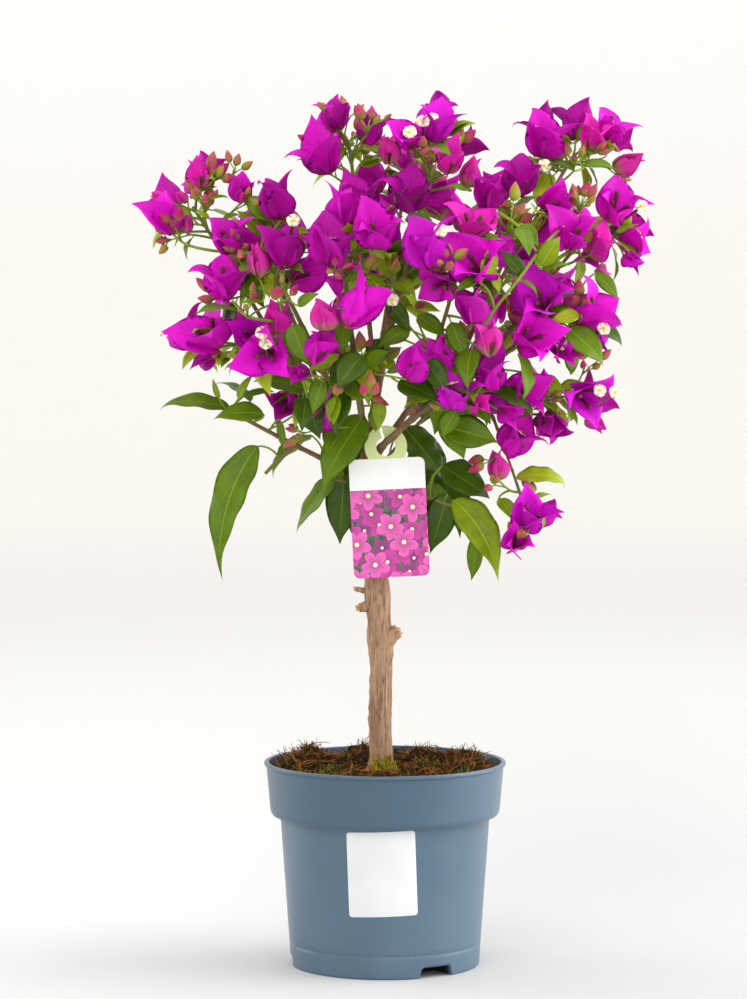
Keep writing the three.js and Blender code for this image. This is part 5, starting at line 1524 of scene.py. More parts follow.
# Where the pot's painted shade fades in, in metres: across the collar, at its lower edge, at the inner
# side of the wall by the notches, and at their roofs. On the collar the painted shade is full on the left
# and the middle and fades out to the right; inside the foot, seen through the notches, it is nearly black.
COLLAR_SHADE_ACROSS, COLLAR_SHADE_EDGE = (0.0, 0.065), (0.0944, 0.0956)
HOLLOW_SHADE_DEPTH, HOLLOW_SHADE_ROOF = (0.0555, 0.0575), (0.0085, 0.009)


def pot_material():
    """Grey-blue plastic with a soft cloud of tone, fine grain, dust and upright scratches."""
    surface = Surface("pot_plastic", 0.36, specular_ior_level=0.5)
    place = surface.place()
    cloud = surface.noise(place, 14, 4)
    grain = surface.noise(place, 900, 2)
    specks = surface.ramp(surface.cells(place, 160), 0.02, 0.07, 1, 0)
    sparse = surface.ramp(surface.noise(place, 45, 1), 0.62, 0.7)
    specks = surface.sum("MULTIPLY", specks, sparse)
    streaks = surface.ramp(surface.noise(surface.place((420, 420, 16)), 1, 3), 0.66, 0.76)
    scratched = surface.sum("MULTIPLY", streaks, surface.ramp(surface.noise(place, 26, 2), 0.5, 0.66))
    x, y, z = surface.parts(place)
    body = surface.mix(surface.ramp(cloud, 0.3, 0.7), POT_SHADE, POT_LIGHT)
    # Painted shade on the collar: darkened above its lower edge, fully on the left and the middle, less to
    # the right.
    across = surface.ramp(x, *COLLAR_SHADE_ACROSS, 0.85, 0.0)
    collar = surface.sum("MULTIPLY", across, surface.ramp(z, *COLLAR_SHADE_EDGE))
    body = surface.mix(collar, body, POT_COLLAR_PAINTED_SHADE)
    # Painted shade inside the foot, below the pot's floor and seen through the notches: nearly black.
    inward = surface.ramp(surface.length(surface.joined(x, y)), *HOLLOW_SHADE_DEPTH, 0.9, 0)
    hollow_shade = surface.sum("MULTIPLY", inward, surface.ramp(z, *HOLLOW_SHADE_ROOF, 1, 0))
    body = surface.mix(hollow_shade, body, POT_HOLLOW_PAINTED_SHADE)
    body = surface.mix(surface.sum("MULTIPLY", scratched, 0.28), body, POT_SCRATCH)
    surface.colour(surface.mix(surface.sum("MULTIPLY", specks, 0.5), body, POT_DUST))
    surface.rough(cloud, 0.3, 0.42)
    surface.bump((grain, 0.12, 0.0002), (cloud, 0.2, 0.001), (scratched, 0.1, 0.0002))
    return surface.material


def wall_radius(height):
    return POT["foot"] + (POT["waist"] - POT["foot"]) * height / POT["collar_bottom"]


GROOVE, GROOVE_DEPTH = 14.5, 0.42  # the fine line round the foot
BASE_FLOOR = 9.6  # the pot is solid up to here, over the roofs of its notches
POT_SIDES, POT_STEP = 180, 2.8
# How far the collar's lower edge is drawn in and up against the source's, for a crisp shadow line.
COLLAR_IN, COLLAR_UP = 1.5, 1.5


def pot_outline():
    """Half the pot's section, and the radius of each rounded corner by its index."""
    edge, wall, bottom, height = POT["edge"], POT["wall"], POT["collar_bottom"], POT["height"]
    groove = wall_radius(GROOVE)
    lip_bottom = height - POT["lip_height"]
    outline = [
        (0, 0), (POT["foot"], 0),
        (groove - 0.08, GROOVE - 1.0), (groove - GROOVE_DEPTH, GROOVE), (groove + 0.05, GROOVE + 1.0),
        (POT["waist"] - 0.1, bottom - 2), (POT["waist"] + 0.5, bottom - 0.4),
        (POT["collar"] - COLLAR_IN, bottom - edge), (POT["collar"], bottom + COLLAR_UP),
        (POT["collar_top"], lip_bottom), (POT["lip"], lip_bottom + edge),
        (POT["lip"], height - edge), (POT["lip"] - edge, height), (POT["collar_top"] - wall, height),
        (POT["collar"] - wall, bottom + POT["step"] - edge), (POT["waist"] - wall, bottom),
        (POT["foot"] - wall, BASE_FLOOR), (0, BASE_FLOOR),
    ]
    corners = {1: 1.6, 3: 0.4, 5: 0.4, 6: 0.3, 7: 0.4, 8: 1.3, 9: 0.6, 10: 0.7, 11: 0.7, 12: 0.5, 13: 0.7}
    return outline, corners


def pot_piece():
    points, faces = lathe(filled_in(rounded(*pot_outline()), POT_STEP), POT_SIDES)
    pot = new_piece("pot_body", points, faces, [pot_material()])
    for k in range(NOTCH["count"]):
        carve(pot, notch_tool(NOTCH["first"] + k * 360 / NOTCH["count"]))
    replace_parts(pot, "pot")


pot_piece()

# The bare white sticker on the front, which follows the curve of the wall.
LABEL = dict(left=-23.2, right=19.2, bottom=40.1, top=93.4, corner=1.8, lean=2, lift=0.12, thick=0.16,
             sunk=0.3, columns=36, corner_rows=8, straight_rows=23)


def label_points():
    """Two layers of points, the face of the sticker and its hidden back within the wall, and their rows."""
    width, height = LABEL["right"] - LABEL["left"], LABEL["top"] - LABEL["bottom"]
    corner, steps = LABEL["corner"], LABEL["corner_rows"]
    straight = height / 2 - corner  # half the height between the rounded corners
    bend = [straight + corner * math.sin(math.pi / 2 * k / steps) for k in range(steps + 1)]
    between = list(np.linspace(-straight, straight, LABEL["straight_rows"] + 1)[1:-1])
    levels = [-z for z in bend[::-1]] + between + bend
    middle = Vector(((LABEL["left"] + LABEL["right"]) / 2, (LABEL["bottom"] + LABEL["top"]) / 2))
    lean = math.radians(LABEL["lean"])
    points = []
    for above in (LABEL["lift"] + LABEL["thick"], LABEL["lift"] - LABEL["sunk"]):
        for z in levels:
            near = max(0, abs(z) - straight)
            half = width / 2 - (corner - math.sqrt(max(corner**2 - near**2, 0)))
            for share in np.linspace(-1, 1, LABEL["columns"] + 1):
                x = share * half
                px = middle.x + x * math.cos(lean) - z * math.sin(lean)
                pz = middle.y + x * math.sin(lean) + z * math.cos(lean)
                radius = wall_radius(pz) + above
                points.append((px, -math.sqrt(radius**2 - px**2), pz))
    return points, len(levels)


def label_piece():
    points, rows = label_points()
    wide = LABEL["columns"] + 1
    back = rows * wide
    faces = []
    for a in (i * wide + j for i in range(rows - 1) for j in range(wide - 1)):
        faces.append((a, a + 1, a + 1 + wide, a + wide))
        faces.append((back + a + 1, back + a, back + a + wide, back + a + 1 + wide))
    rim = list(range(wide)) + [i * wide + wide - 1 for i in range(1, rows)]
    rim += list(range(back - 2, back - wide - 1, -1)) + [i * wide for i in range(rows - 2, 0, -1)]
    for a, b in zip(rim, rim[1:] + rim[:1]):
        faces.append((b, a, back + a, back + b))
    surface = Surface("label_paper", 0.42)
    place = surface.place()
    fibre = surface.noise(place, 500, 4)
    soft = surface.noise(place, 30, 2)
    surface.colour(surface.mix(surface.ramp(soft, 0.3, 0.7), rgb(223, 226, 226), rgb(229, 231, 230)))
    surface.rough(soft, 0.38, 0.5)
    surface.bump((fibre, 0.08, 0.0002), (soft, 0.1, 0.0008))
    return new_piece("label_sticker", points, faces, [surface.material])


label_piece()


# ---- soil -------------------------------------------------------------------------------------------------
# Heaps of moss and peat on the soil: place, reach and height.
HEAPS = [
    (-56, 16, 12, 8), (-47, 31, 11, 10), (-15, 29, 10, 11), (-27, 18, 10, 6), (-60, -6, 10, 5),
    (19, 24, 12, 7), (35, 20, 13, 8), (53, 20, 12, 8), (60, 0, 10, 6), (46, -8, 12, 5), (27, -24, 12, 4),
    (-31, -22, 12, 4), (9, 53, 14, 5), (-20, 57, 12, 5), (-4, -48, 16, 2),
]
HEAPS_END = 71  # the heaps sink away before the wall of the pot
GROUND = dict(rim=72.5, foot=70.8, bottom=104, rings=92, sides=260, crowding=0.8)
LUMPS = dict(scale=0.11, height=2.2, crag_scale=2.3, crag_height=0.8, crag_level=1.1)


def soil_height(x, y):
    """The mound of the source, with lumps, pits and grain on it, and the heaps."""
    radius = math.hypot(x, y)
    waves = (math.sin(x * 0.19 + 0.6) * math.cos(y * 0.16 - 0.4) + 0.6 * math.sin(x * 0.37 - y * 0.29 + 1.1)
             + 0.4 * math.cos(x * 0.11 + y * 0.47))
    t = min(max((radius - SOIL["stand"]) / SOIL["slope"], 0), 1)
    rise = t * t * (3 - 2 * t)
    ground = SOIL["level"] + (SOIL["crest"] - SOIL["level"]) * (1 - rise)
    ground += rise * SOIL["bump"] * (0.35 + 0.35 * waves)
    place = Vector((x, y, 0)) * LUMPS["scale"]
    lumps = noise.fractal(place, 0.6, 2.1, 4)
    crags = noise.ridged_multi_fractal(place * LUMPS["crag_scale"] + Vector((9, 4, 2)), 0.7, 2.2, 4, 0.9, 2.0)
    heap = sum(h * math.exp(-((x - a) ** 2 + (y - b) ** 2) / r**2) for a, b, r, h in HEAPS)
    heap *= smoothstep(HEAPS_END - radius, 0, 9)
    rough = LUMPS["height"] * lumps + LUMPS["crag_height"] * (crags - LUMPS["crag_level"])
    return ground + heap + (0.35 + 0.65 * rise) * rough


def soil_material():
    surface = Surface("soil_compost", 0.92, specular_ior_level=0.2)
    place = surface.place()
    patches = surface.noise(place, 42, 5, 0.6, 0.6)
    moss = surface.noise(place, 70, 4, 0.6)
    grain = surface.noise(place, 700, 5, 0.7)
    crumbs = surface.cells(place, 420)
    body = surface.mix(surface.ramp(patches, 0.36, 0.62), rgb(26, 15, 7), rgb(62, 36, 16))
    body = surface.mix(surface.ramp(patches, 0.6, 0.72), body, rgb(118, 72, 32))
    body = surface.mix(surface.ramp(moss, 0.52, 0.64, 0, 0.75), body, rgb(52, 58, 24))
    body = surface.mix(surface.ramp(grain, 0.58, 0.78, 0, 0.4), body, rgb(140, 92, 46))
    surface.colour(surface.mix(surface.ramp(crumbs, 0.0, 0.5, 0.6, 0), body, rgb(18, 11, 6)))
    surface.rough(grain, 0.85, 0.98)
    surface.bump((grain, 0.8, 0.001), (crumbs, 0.7, 0.0012))
    return surface.material


def soil_piece():
    rings, sides = GROUND["rings"], GROUND["sides"]
    points = []
    for i in range(1, rings + 1):
        radius = GROUND["rim"] * (i / rings) ** GROUND["crowding"]
        points += [(x, y, soil_height(x, y)) for x, y in circle(radius, sides)]
    points += [(x, y, GROUND["bottom"]) for x, y in circle(GROUND["foot"], sides)]
    centre, foot = len(points), len(points) + 1
    points += [(0, 0, soil_height(0, 0)), (0, 0, GROUND["bottom"])]
    faces = ring_faces(rings + 1, sides, flipped=True)
    faces += fan(centre, 0, sides) + fan(foot, rings * sides, sides, True)
    return new_piece("soil_ground", points, faces, [soil_material()])


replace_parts(soil_piece(), "soil")

# Crumbs, fibres and moss: colour, roughness, scale of the mottle, strength and depth of the relief, and
# spread of the tones.
LITTER_LOOKS = dict(
    crumb_dark=(rgb(40, 24, 13), 0.95, 500, 0.8, 0.001, 0.35),
    crumb_rust=(rgb(104, 58, 24), 0.95, 500, 0.8, 0.001, 0.35),
    fibre_tan=(rgb(150, 94, 46), 0.9, 600, 0.4, 0.0004, 0.3),
    fibre_brown=(rgb(88, 52, 24), 0.9, 600, 0.4, 0.0004, 0.3),
    moss_dark=(rgb(42, 48, 16), 0.9, 500, 0.4, 0.0005, 0.35),
    moss_bright=(rgb(112, 116, 32), 0.9, 500, 0.4, 0.0005, 0.3),
    moss_yellow=(rgb(168, 158, 48), 0.9, 500, 0.4, 0.0005, 0.3),
)
litter_materials = [plain(name, *look, specular_ior_level=0.1) for name, look in LITTER_LOOKS.items()]
CRUMBS, LOOSE_FIBRES, RIM_FIBRES, TUFT_FIBRES = 520, 900, 70, 420
MOSS_CLUMPS, CLUMP_FIBRES, CLUMP_REACH = 46, 34, 4.5
# The ring of soil that each kind lies in, from its inner to its outer radius.
CRUMB_RING, FIBRE_RING, CLUMP_RING, RIM_RING = (9, 71), (8, 71), (16, 68), (52, 70)
MOSS_END, HEAP_END = 70.5, 70  # no moss and no fibre of a heap grows further out
HEAP_FIBRES = 16  # for each millimetre of a heap's height
TUFT = dict(near=8.6, far=14.5, height=11, middle=-2.2)  # round the stem's foot
STEM_ROOM = 11  # the heaps' fibres keep this far from the stem
TUFT_KINDS = ["moss_yellow", "moss_yellow", "moss_bright", "fibre_tan"]
HEAP_KINDS = ["moss_dark", "moss_dark", "fibre_brown", "fibre_tan", "moss_bright"]
HEAP_DEAL = 4.4  # the last of the heaps' kinds comes less often than the others


def lump_shape(random, reach):
    """A crumb: a small ball pulled out of round."""
    shape = bmesh.new()
    bmesh.ops.create_icosphere(shape, subdivisions=2, radius=1)
    stretch = Vector((random(0.7, 1.2), random(0.6, 1.1), random(0.5, 0.8))) * reach
    away = Vector((random(0, 90), random(0, 90), random(0, 90)))
    points = []
    for vertex in shape.verts:
        bulge = 1 + 0.45 * noise.noise(vertex.co * 1.7 + away)
        points.append([c * s * bulge for c, s in zip(vertex.co, stretch)])
    faces = [[v.index for v in face.verts] for face in shape.faces]
    shape.free()
    return np.array(points), faces


def soil_spot(x, y, sunk=0.0):
    return Vector((x, y, soil_height(x, y) - sunk))


def on_soil(random, low, high):
    radius = math.sqrt(random(low**2, high**2))
    turn = random(0, FULL_TURN)
    return soil_spot(radius * math.cos(turn), radius * math.sin(turn))


def upright(turn, lean, random):
    """A way up that leans out from the stem, and strays."""
    way = Vector((math.cos(turn) * lean, math.sin(turn) * lean, 1))
    return (way + level_stray(random) * 0.5).normalized()


class Litter(Pile):
    """Crumbs, peat fibres and moss, as on the soil of a plant that has stood a while."""

    def __init__(self):
        super().__init__("soil_litter", "soil", litter_materials)
        self.random = chance(4243)

    def fibre(self, start, way, length, radius, kind, curl):
        side = round_twig(way, self.random(0, 6.3))
        middle = start + way * length * 0.5 + side * length * curl
        end = start + way * length + side * length * curl * self.random(-1, 0.6)
        line = arch(start, middle, end, 6).points
        places, faces, grown = grown_tube(line, lambda t: radius * (1 - 0.6 * t), 4, self.random(0, 1))
        self.add(places, faces, kind, grown)

    def crumbs(self):
        random = self.random
        for _ in range(CRUMBS):
            spot = on_soil(random, *CRUMB_RING)
            points, faces = lump_shape(random, random(0.8, 2.9))
            grown = np.tile([0, 0.5, random(0, 1)], (len(points), 1))
            kind = "crumb_rust" if random(0, 1) < 0.45 else "crumb_dark"
            self.add(points + np.array(spot[:]), faces, kind, grown)

    def loose_fibres(self):
        random = self.random
        for _ in range(LOOSE_FIBRES):
            spot = on_soil(random, *FIBRE_RING)
            turn = random(0, FULL_TURN)
            way = Vector((math.cos(turn), math.sin(turn), random(-0.05, 0.45))).normalized()
            kind = "fibre_tan" if random(0, 1) < 0.4 else "fibre_brown"
            run = random(5, 17)
            if math.hypot(spot.x + way.x * run, spot.y + way.y * run) < FIBRE_RING[1]:
                self.fibre(spot + UP * 0.4, way, run, random(0.22, 0.5), kind, random(-0.25, 0.25))

    def moss(self):
        random = self.random
        for _ in range(MOSS_CLUMPS):
            clump = on_soil(random, *CLUMP_RING)
            kind = "moss_bright" if random(0, 1) < 0.18 else "moss_dark"
            for _ in range(CLUMP_FIBRES):
                away = level_stray(random) * CLUMP_REACH
                spot = clump + away
                if math.hypot(spot.x, spot.y) > MOSS_END:
                    continue
                spot = soil_spot(spot.x, spot.y, 0.5)
                way = (UP + level_stray(random) * 0.7 + away * 0.06).normalized()
                self.fibre(spot, way, random(2.5, 5.5), 0.42, kind, random(-0.2, 0.2))

    def rim_fibres(self):
        """Dry fibres that stand up at the left of the rim."""
        random = self.random
        for _ in range(RIM_FIBRES):
            turn = math.radians(random(150, 250))
            radius = random(*RIM_RING)
            spot = soil_spot(radius * math.cos(turn), radius * math.sin(turn), 0.5)
            way = upright(turn, 0.35, random)
            length, thick = random(6, 13), random(0.22, 0.4)
            kind = "fibre_tan" if random(0, 1) < 0.75 else "moss_dark"
            self.fibre(spot, way, length, thick, kind, random(-0.3, 0.3))

    def tuft(self):
        """The green tuft at the stem's foot, which covers the front of its flare."""
        random = self.random
        for _ in range(TUFT_FIBRES):
            turn = math.radians(random(-125, -40))
            radius = random(TUFT["near"], TUFT["far"])
            spot = soil_spot(radius * math.cos(turn) + TUFT["middle"], radius * math.sin(turn), 0.5)
            way = upright(turn, 0.4, random)
            out = (radius - TUFT["near"]) / (TUFT["far"] - TUFT["near"])
            spot.z += random(0, TUFT["height"]) * (1 - out)
            length = random(2, 5)
            self.fibre(spot, way, length, 0.42, pick(random, TUFT_KINDS), random(-0.3, 0.3))

    def heaps(self):
        """Moss and short curled roots, with which the heaps are rough."""
        random = self.random
        for x, y, reach, height in HEAPS:
            for _ in range(HEAP_FIBRES * height):
                away = level_stray(random) * reach
                if not STEM_ROOM <= math.hypot(x + away.x, y + away.y) <= HEAP_END:
                    continue
                spot = soil_spot(x + away.x, y + away.y, 0.6)
                way = UP * 1.2 + away / reach * 0.6 + level_stray(random) + UP * random(-0.8, 0.4)
                length, thick = random(2, 8), random(0.2, 0.42)
                kind = HEAP_KINDS[int(random(0, HEAP_DEAL))]
                self.fibre(spot, way.normalized(), length, thick, kind, random(-0.5, 0.5))


litter = Litter()
litter.crumbs()
litter.loose_fibres()
litter.moss()
litter.rim_fibres()
litter.tuft()
litter.heaps()
litter.build()


# ---- stem and boughs --------------------------------------------------------------------------------------
def bark_material(name, light, dark, scale):
    """Bark with strands along the wood, cracks, flakes and paler patches."""
    surface = Surface(name, 0.78, specular_ior_level=0.3)
    along = surface.place((scale * 2.2, scale * 2.2, scale * 0.22))
    strands = surface.noise(along, 1.6, 6, 0.65, 0.5)
    cracks = surface.ramp(surface.noise(along, 3.4, 4, 0.6), 0.34, 0.46, 1, 0)
    patches = surface.noise(surface.place(), scale * 0.35, 4)
    flakes = surface.ramp(surface.cells(along, 0.9), 0.1, 0.55)
    body = surface.mix(surface.ramp(strands, 0.3, 0.68), dark, light)
    body = surface.mix(surface.ramp(patches, 0.45, 0.7, 0, 0.45), body, shade(light, 1.25))
    body = surface.mix(surface.sum("MULTIPLY", flakes, 0.2), body, shade(dark, 1.2))
    surface.colour(surface.mix(surface.sum("MULTIPLY", cracks, 0.75), body, shade(dark, 0.42)))
    surface.rough(strands, 0.7, 0.9)
    surface.bump((strands, 0.55, 0.0009), (cracks, -0.5, 0.0008))
    return surface.material


trunk_bark = bark_material("trunk_bark", rgb(184, 150, 122), rgb(134, 100, 74), 120)
bough_bark = bark_material("bough_bark", rgb(150, 118, 84), rgb(104, 80, 52), 240)
cut_wood = plain("cut_wood", rgb(206, 168, 118), 0.8, 700, 0.6, 0.0006, 0.25)
STEM_RINGS, STEM_SIDES, STEM_SUNK = 330, 72, 6
STEM_SWELLS = [(204, 9), (231, 8)]  # height and reach of the swellings under the cut twigs
# How far each part of the stem's relief stands out, and how high its roots show above the soil.
RELIEF = dict(strands=0.75, fine=0.34, knots=0.5, flake=0.3, roots=0.9, swell=0.9, roots_height=14)
STUB_SHARES = [0, 0.35, 0.55, 0.68, 0.8, 0.9, 1.0]
# A stub's collar, taper, relief and sunk face, as shares of its radius.
STUB = dict(sides=22, collar=1.75, taper=0.85, relief=0.34, sunk=0.5)
BOUGH = dict(sides=14, rough=0.16, joint=0.32, joint_sharpness=14, joint_spacing=16, ring_spacing=2.2)


def fractal(place, octaves):
    return noise.fractal(Vector(place), 0.7, 2.1, octaves)


def trunk_radius(height):
    flare = max(0, 1 - (height - TRUNK["line"][0][2]) / TRUNK["flare_height"])
    head = max(0, 1 - (TRUNK["line"][-1][2] - height) / TRUNK["head_height"])
    return (TRUNK["radius"] + (TRUNK["flare"] - TRUNK["radius"]) * flare**2
            + (TRUNK["head"] - TRUNK["radius"]) * math.sin(head * math.pi / 2))


def trunk_relief(_, turn, point):
    """The source's ribs, and on them strands, fine grain, knots, flakes, roots at the foot and swellings."""
    foot = TRUNK["line"][0][2]
    height = max(point.z, foot)
    ripple = TRUNK["ripple"] * math.sin(TRUNK["ribs"] * turn + height / TRUNK["ripple_length"])
    x, y = math.cos(turn), math.sin(turn)
    strands = fractal((x * 5.2, y * 5.2, height * 0.035), 4)
    fine = fractal((x * 15, y * 15, height * 0.07 + 7), 3)
    knots = noise.noise(Vector((x * 1.3, y * 1.3, height * 0.05 + 31)))
    flake = float(smoothstep(noise.noise(Vector((x * 4, y * 4, height * 0.16 + 3))), 0.18, 0.3))
    roots = max(0, 1 - (height - foot) / RELIEF["roots_height"]) * math.sin(4 * turn + 1)
    swell = sum(math.exp(-(((height - middle) / reach) ** 2)) for middle, reach in STEM_SWELLS)
    parts = dict(strands=strands, fine=fine, knots=knots, flake=flake, roots=roots, swell=swell)
    return ripple + sum(RELIEF[name] * part for name, part in parts.items())


def trunk_piece():
    foot, top = TRUNK["line"][0][2], TRUNK["line"][-1][2]
    line = trunk_way.stretch(0, 1, STEM_RINGS)
    line.insert(0, Vector((line[0].x, line[0].y, foot - STEM_SUNK)))

    def radius_at(share):
        return trunk_radius(foot + (top - foot) * max(0, (share * (STEM_RINGS + 1) - 1) / STEM_RINGS))

    places, faces = tube(line, radius_at, STEM_SIDES, trunk_relief)
    return new_piece("trunk_stem", places, faces, [trunk_bark])


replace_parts(trunk_piece(), "trunk")


def stub_pieces():
    """The ends of old twigs: a collar of bark and a rough pale face where each broke off."""
    pile = Pile("trunk_stubs", "bark", [trunk_bark, cut_wood])
    last = len(STUB_SHARES) - 1
    for index, stub in enumerate(STUBS):
        random = chance(611 + index)
        angle, rise = math.radians(stub["angle"]), math.radians(stub["rise"])
        out = Vector((math.cos(angle), math.sin(angle), math.tan(rise))).normalized()
        reach = trunk_radius(stub["height"]) + stub["length"]
        radius = stub["radius"]
        points = [trunk_point(stub["height"]) + out * reach * t for t in STUB_SHARES]

        def radius_at(t):
            return radius * (STUB["collar"] - STUB["taper"] * STUB_SHARES[min(int(round(t * last)), last)])

        def relief(t, turn, point):
            rough = fractal(point * 0.5 + Vector((index * 9, 0, 0)), 4)
            return radius * STUB["relief"] * rough * (0.4 + t)

        places, faces = tube(points, radius_at, STUB["sides"], relief)
        end = len(places) - 1
        middle = places[last * STUB["sides"]: (last + 1) * STUB["sides"]].mean(axis=0)
        places[end] = middle - np.array(out[:]) * radius * STUB["sunk"]
        pile.add(places, faces, ["cut_wood" if end in face else "trunk_bark" for face in faces])
        for _ in range(int(10 + radius * 5)):
            spot = Vector(middle) + round_twig(out, random(0, 6.3)) * random(0, radius * 0.75)
            way = (out + round_twig(out, random(0, 6.3)) * 0.45).normalized()
            splinter = [spot - way * 1.2, spot + way * random(0.2, 0.9), spot + way * random(1.0, 2.4)]
            places, faces = tube(splinter, lambda t: 0.5 * (1 - 0.75 * t), 5)
            pile.add(places, faces, "cut_wood")
    pile.build()


stub_pieces()


def bough_pieces():
    """The boughs, rough and with a slight joint where each old leaf stood."""
    pile = Pile("boughs", "bough", [bough_bark])
    for index, bough in enumerate(ways.values()):
        length = bough["way"].length * bough["end"]
        points = bough["way"].stretch(0, bough["end"], max(18, int(length / BOUGH["ring_spacing"])))
        joints = max(2, int(length / BOUGH["joint_spacing"]))

        def relief(share, turn, point):
            rough = fractal(point * 0.42 + Vector((index * 7, 0, 0)), 3)
            joint = max(0, math.cos(share * joints * FULL_TURN)) ** BOUGH["joint_sharpness"]
            return BOUGH["rough"] * rough + BOUGH["joint"] * joint

        def radius_at(share):
            return bough["radius"] + (bough["tip"] - bough["radius"]) * share

        places, faces = tube(points, radius_at, BOUGH["sides"], relief)
        pile.add(places, faces, "bough_bark")
    pile.build([*ways])


bough_pieces()


# ---- tag --------------------------------------------------------------------------------------------------
def tag_outline():
    """The plate and its split ring, drawn round the middle of the ring's hole."""
    right, corner = TAG["width"] / 2, TAG["corner"]
    top = -TAG["hole_above"]
    bottom = top - TAG["height"]
    slit = math.radians(TAG["slit_angle"])
    outer, inner = math.asin(TAG["slit"] / 2 / TAG["ring"]), math.asin(TAG["slit"] / 2 / TAG["hole"])
    join = math.asin(TAG["hole_above"] / TAG["ring"])

    def arc(x, y, radius, start, end, steps):
        return [(x + radius * math.cos(start + (end - start) * i / steps),
                 y + radius * math.sin(start + (end - start) * i / steps)) for i in range(steps + 1)]

    quarter = math.pi / 2
    line = arc(0, 0, TAG["ring"], slit + outer, math.pi + join, 18)
    for side, height, start in ((-1, top, 1), (-1, bottom, 2), (1, bottom, 3), (1, top, 0)):
        x, y = side * (right - corner), height + corner * (1 if height == bottom else -1)
        line += arc(x, y, corner, start * quarter, (start + 1) * quarter, 8)
    line += arc(0, 0, TAG["ring"], -join, slit - outer, 22)
    line += arc(0, 0, TAG["hole"], slit - inner, slit + inner - FULL_TURN, 40)
    return line


TAG_BAND = 19.5  # height of the bare band at the top of the card
# Layers of the tag's blossoms: petal length in millimetres, turn in radians, and tint.
TAG_BLOSSOMS = [(6.5, 0.4, rgb(140, 36, 120)), (8.0, 1.5, rgb(190, 44, 146)), (9.5, 2.6, rgb(222, 84, 174))]
TAG_GREENS = rgb(44, 58, 56), rgb(84, 108, 70)
TAG_PAPER = rgb(254, 255, 254), rgb(255, 255, 255)
TAG_RING = rgb(212, 228, 140), rgb(224, 236, 164)
TAG_HEART = rgb(250, 240, 190)
BLOSSOM_SPACING, BLOSSOM_STRAY = 0.52, 0.7  # blossoms per petal length, and how far they stray from a grid
PETALS, PETAL_NOTCH = 5, 0.45  # how many, and how deep the blossom is cut in between them
HEART_REACH = (0.13, 0.17)  # of a petal's length


def blossom_layer(surface, place, picture, size, turn, tint):
    """Five-petalled blossoms over the picture so far."""
    moved = surface.node("Mapping")
    moved.inputs["Rotation"].default_value = (0, 0, turn)
    surface.link(place, moved.inputs["Vector"])
    spots = surface.node("TexVoronoi", feature="F1", voronoi_dimensions="2D")
    surface.link(moved.outputs[0], spots.inputs["Vector"])
    spots.inputs["Scale"].default_value = BLOSSOM_SPACING / size
    spots.inputs["Randomness"].default_value = BLOSSOM_STRAY
    offset = surface.node("VectorMath", operation="SUBTRACT")
    surface.link(moved.outputs[0], offset.inputs[0])
    surface.link(spots.outputs["Position"], offset.inputs[1])
    x, y, _ = surface.parts(offset.outputs[0])
    radius = surface.length(offset.outputs[0])
    angle = surface.sum("ADD", surface.sum("ARCTAN2", y, x), turn * 3)
    lobe = surface.sum("ABSOLUTE", surface.sum("COSINE", surface.sum("MULTIPLY", angle, PETALS / 2)))
    edge = surface.sum("ADD", surface.sum("MULTIPLY", lobe, PETAL_NOTCH), 1 - PETAL_NOTCH)
    share = surface.sum("DIVIDE", radius, surface.sum("MULTIPLY", edge, size))
    petal = surface.mix(surface.ramp(share, 0.0, 1.0), shade(tint, 0.62), shade(tint, 1.2))
    petal = surface.mix(surface.ramp(lobe, 0.0, 0.25, 0.6, 0), petal, shade(tint, 0.5))
    picture = surface.mix(surface.ramp(share, 0.97, 1.0, 1, 0), picture, petal)
    near, far = HEART_REACH
    return surface.mix(surface.ramp(radius, size * near, size * far, 1, 0), picture, TAG_HEART)


def tag_material():
    """A pale ring, a white band, and below it a plain pattern of blossoms on dark green."""
    surface = Surface("tag_print", 0.32, coat_weight=0.3, coat_roughness=0.2)
    x, z, _ = surface.grown()
    place = surface.joined(x, z)
    warp = surface.noise(place, 0.09, 2)
    picture = surface.mix(surface.ramp(surface.noise(place, 0.3, 3), 0.4, 0.6), *TAG_GREENS)
    for layer in TAG_BLOSSOMS:
        picture = blossom_layer(surface, place, picture, *layer)
    top = -TAG["hole_above"]
    paper = surface.mix(surface.noise(place, 0.4, 2), *TAG_PAPER)
    body = surface.mix(surface.sum("LESS_THAN", z, top - TAG_BAND), paper, picture)
    ring = surface.mix(surface.noise(place, 0.5, 3), *TAG_RING)
    surface.colour(surface.mix(surface.sum("GREATER_THAN", z, top - 0.2), body, ring))
    surface.rough(warp, 0.26, 0.4)
    surface.bump((surface.noise(place, 2.5, 2), 0.06, 0.0002), (warp, 0.2, 0.0008))
    return surface.material


def tag_piece():
    """The card with its ring, tilted as it hangs on its bough."""
    line = tag_outline()
    count = len(line)
    half = TAG["thickness"] / 2
    tilt = Matrix.Rotation(math.radians(-TAG["tilt"]), 3, "Y")
    middle = Vector((TAG["hole_x"], TAG["plane"], TAG["hole_z"]))
    shape = bmesh.new()
    front = [shape.verts.new((x, -half, z)) for x, z in line]
    back = [shape.verts.new((x, half, z)) for x, z in line]
    shape.faces.new(front)
    shape.faces.new(back[::-1])
    for i in range(count):
        n = (i + 1) % count
        shape.faces.new((front[n], front[i], back[i], back[n]))
    bmesh.ops.recalc_face_normals(shape, faces=shape.faces)
    bmesh.ops.triangulate(shape, faces=[f for f in shape.faces if len(f.verts) > 4])
    points = np.array([v.co[:] for v in shape.verts])
    faces = [[v.index for v in f.verts] for f in shape.faces]
    shape.free()
    grown = np.stack([points[:, 0], points[:, 2], np.zeros(len(points))], axis=1)
    placed = np.array([(tilt @ Vector(p) + middle)[:] for p in points])
    pile = Pile("hang_tag_card", "tag", [tag_material()])
    pile.add(placed, faces, "tag_print", grown, smooth=False)
    pile.build(["hang_tag"])


tag_piece()


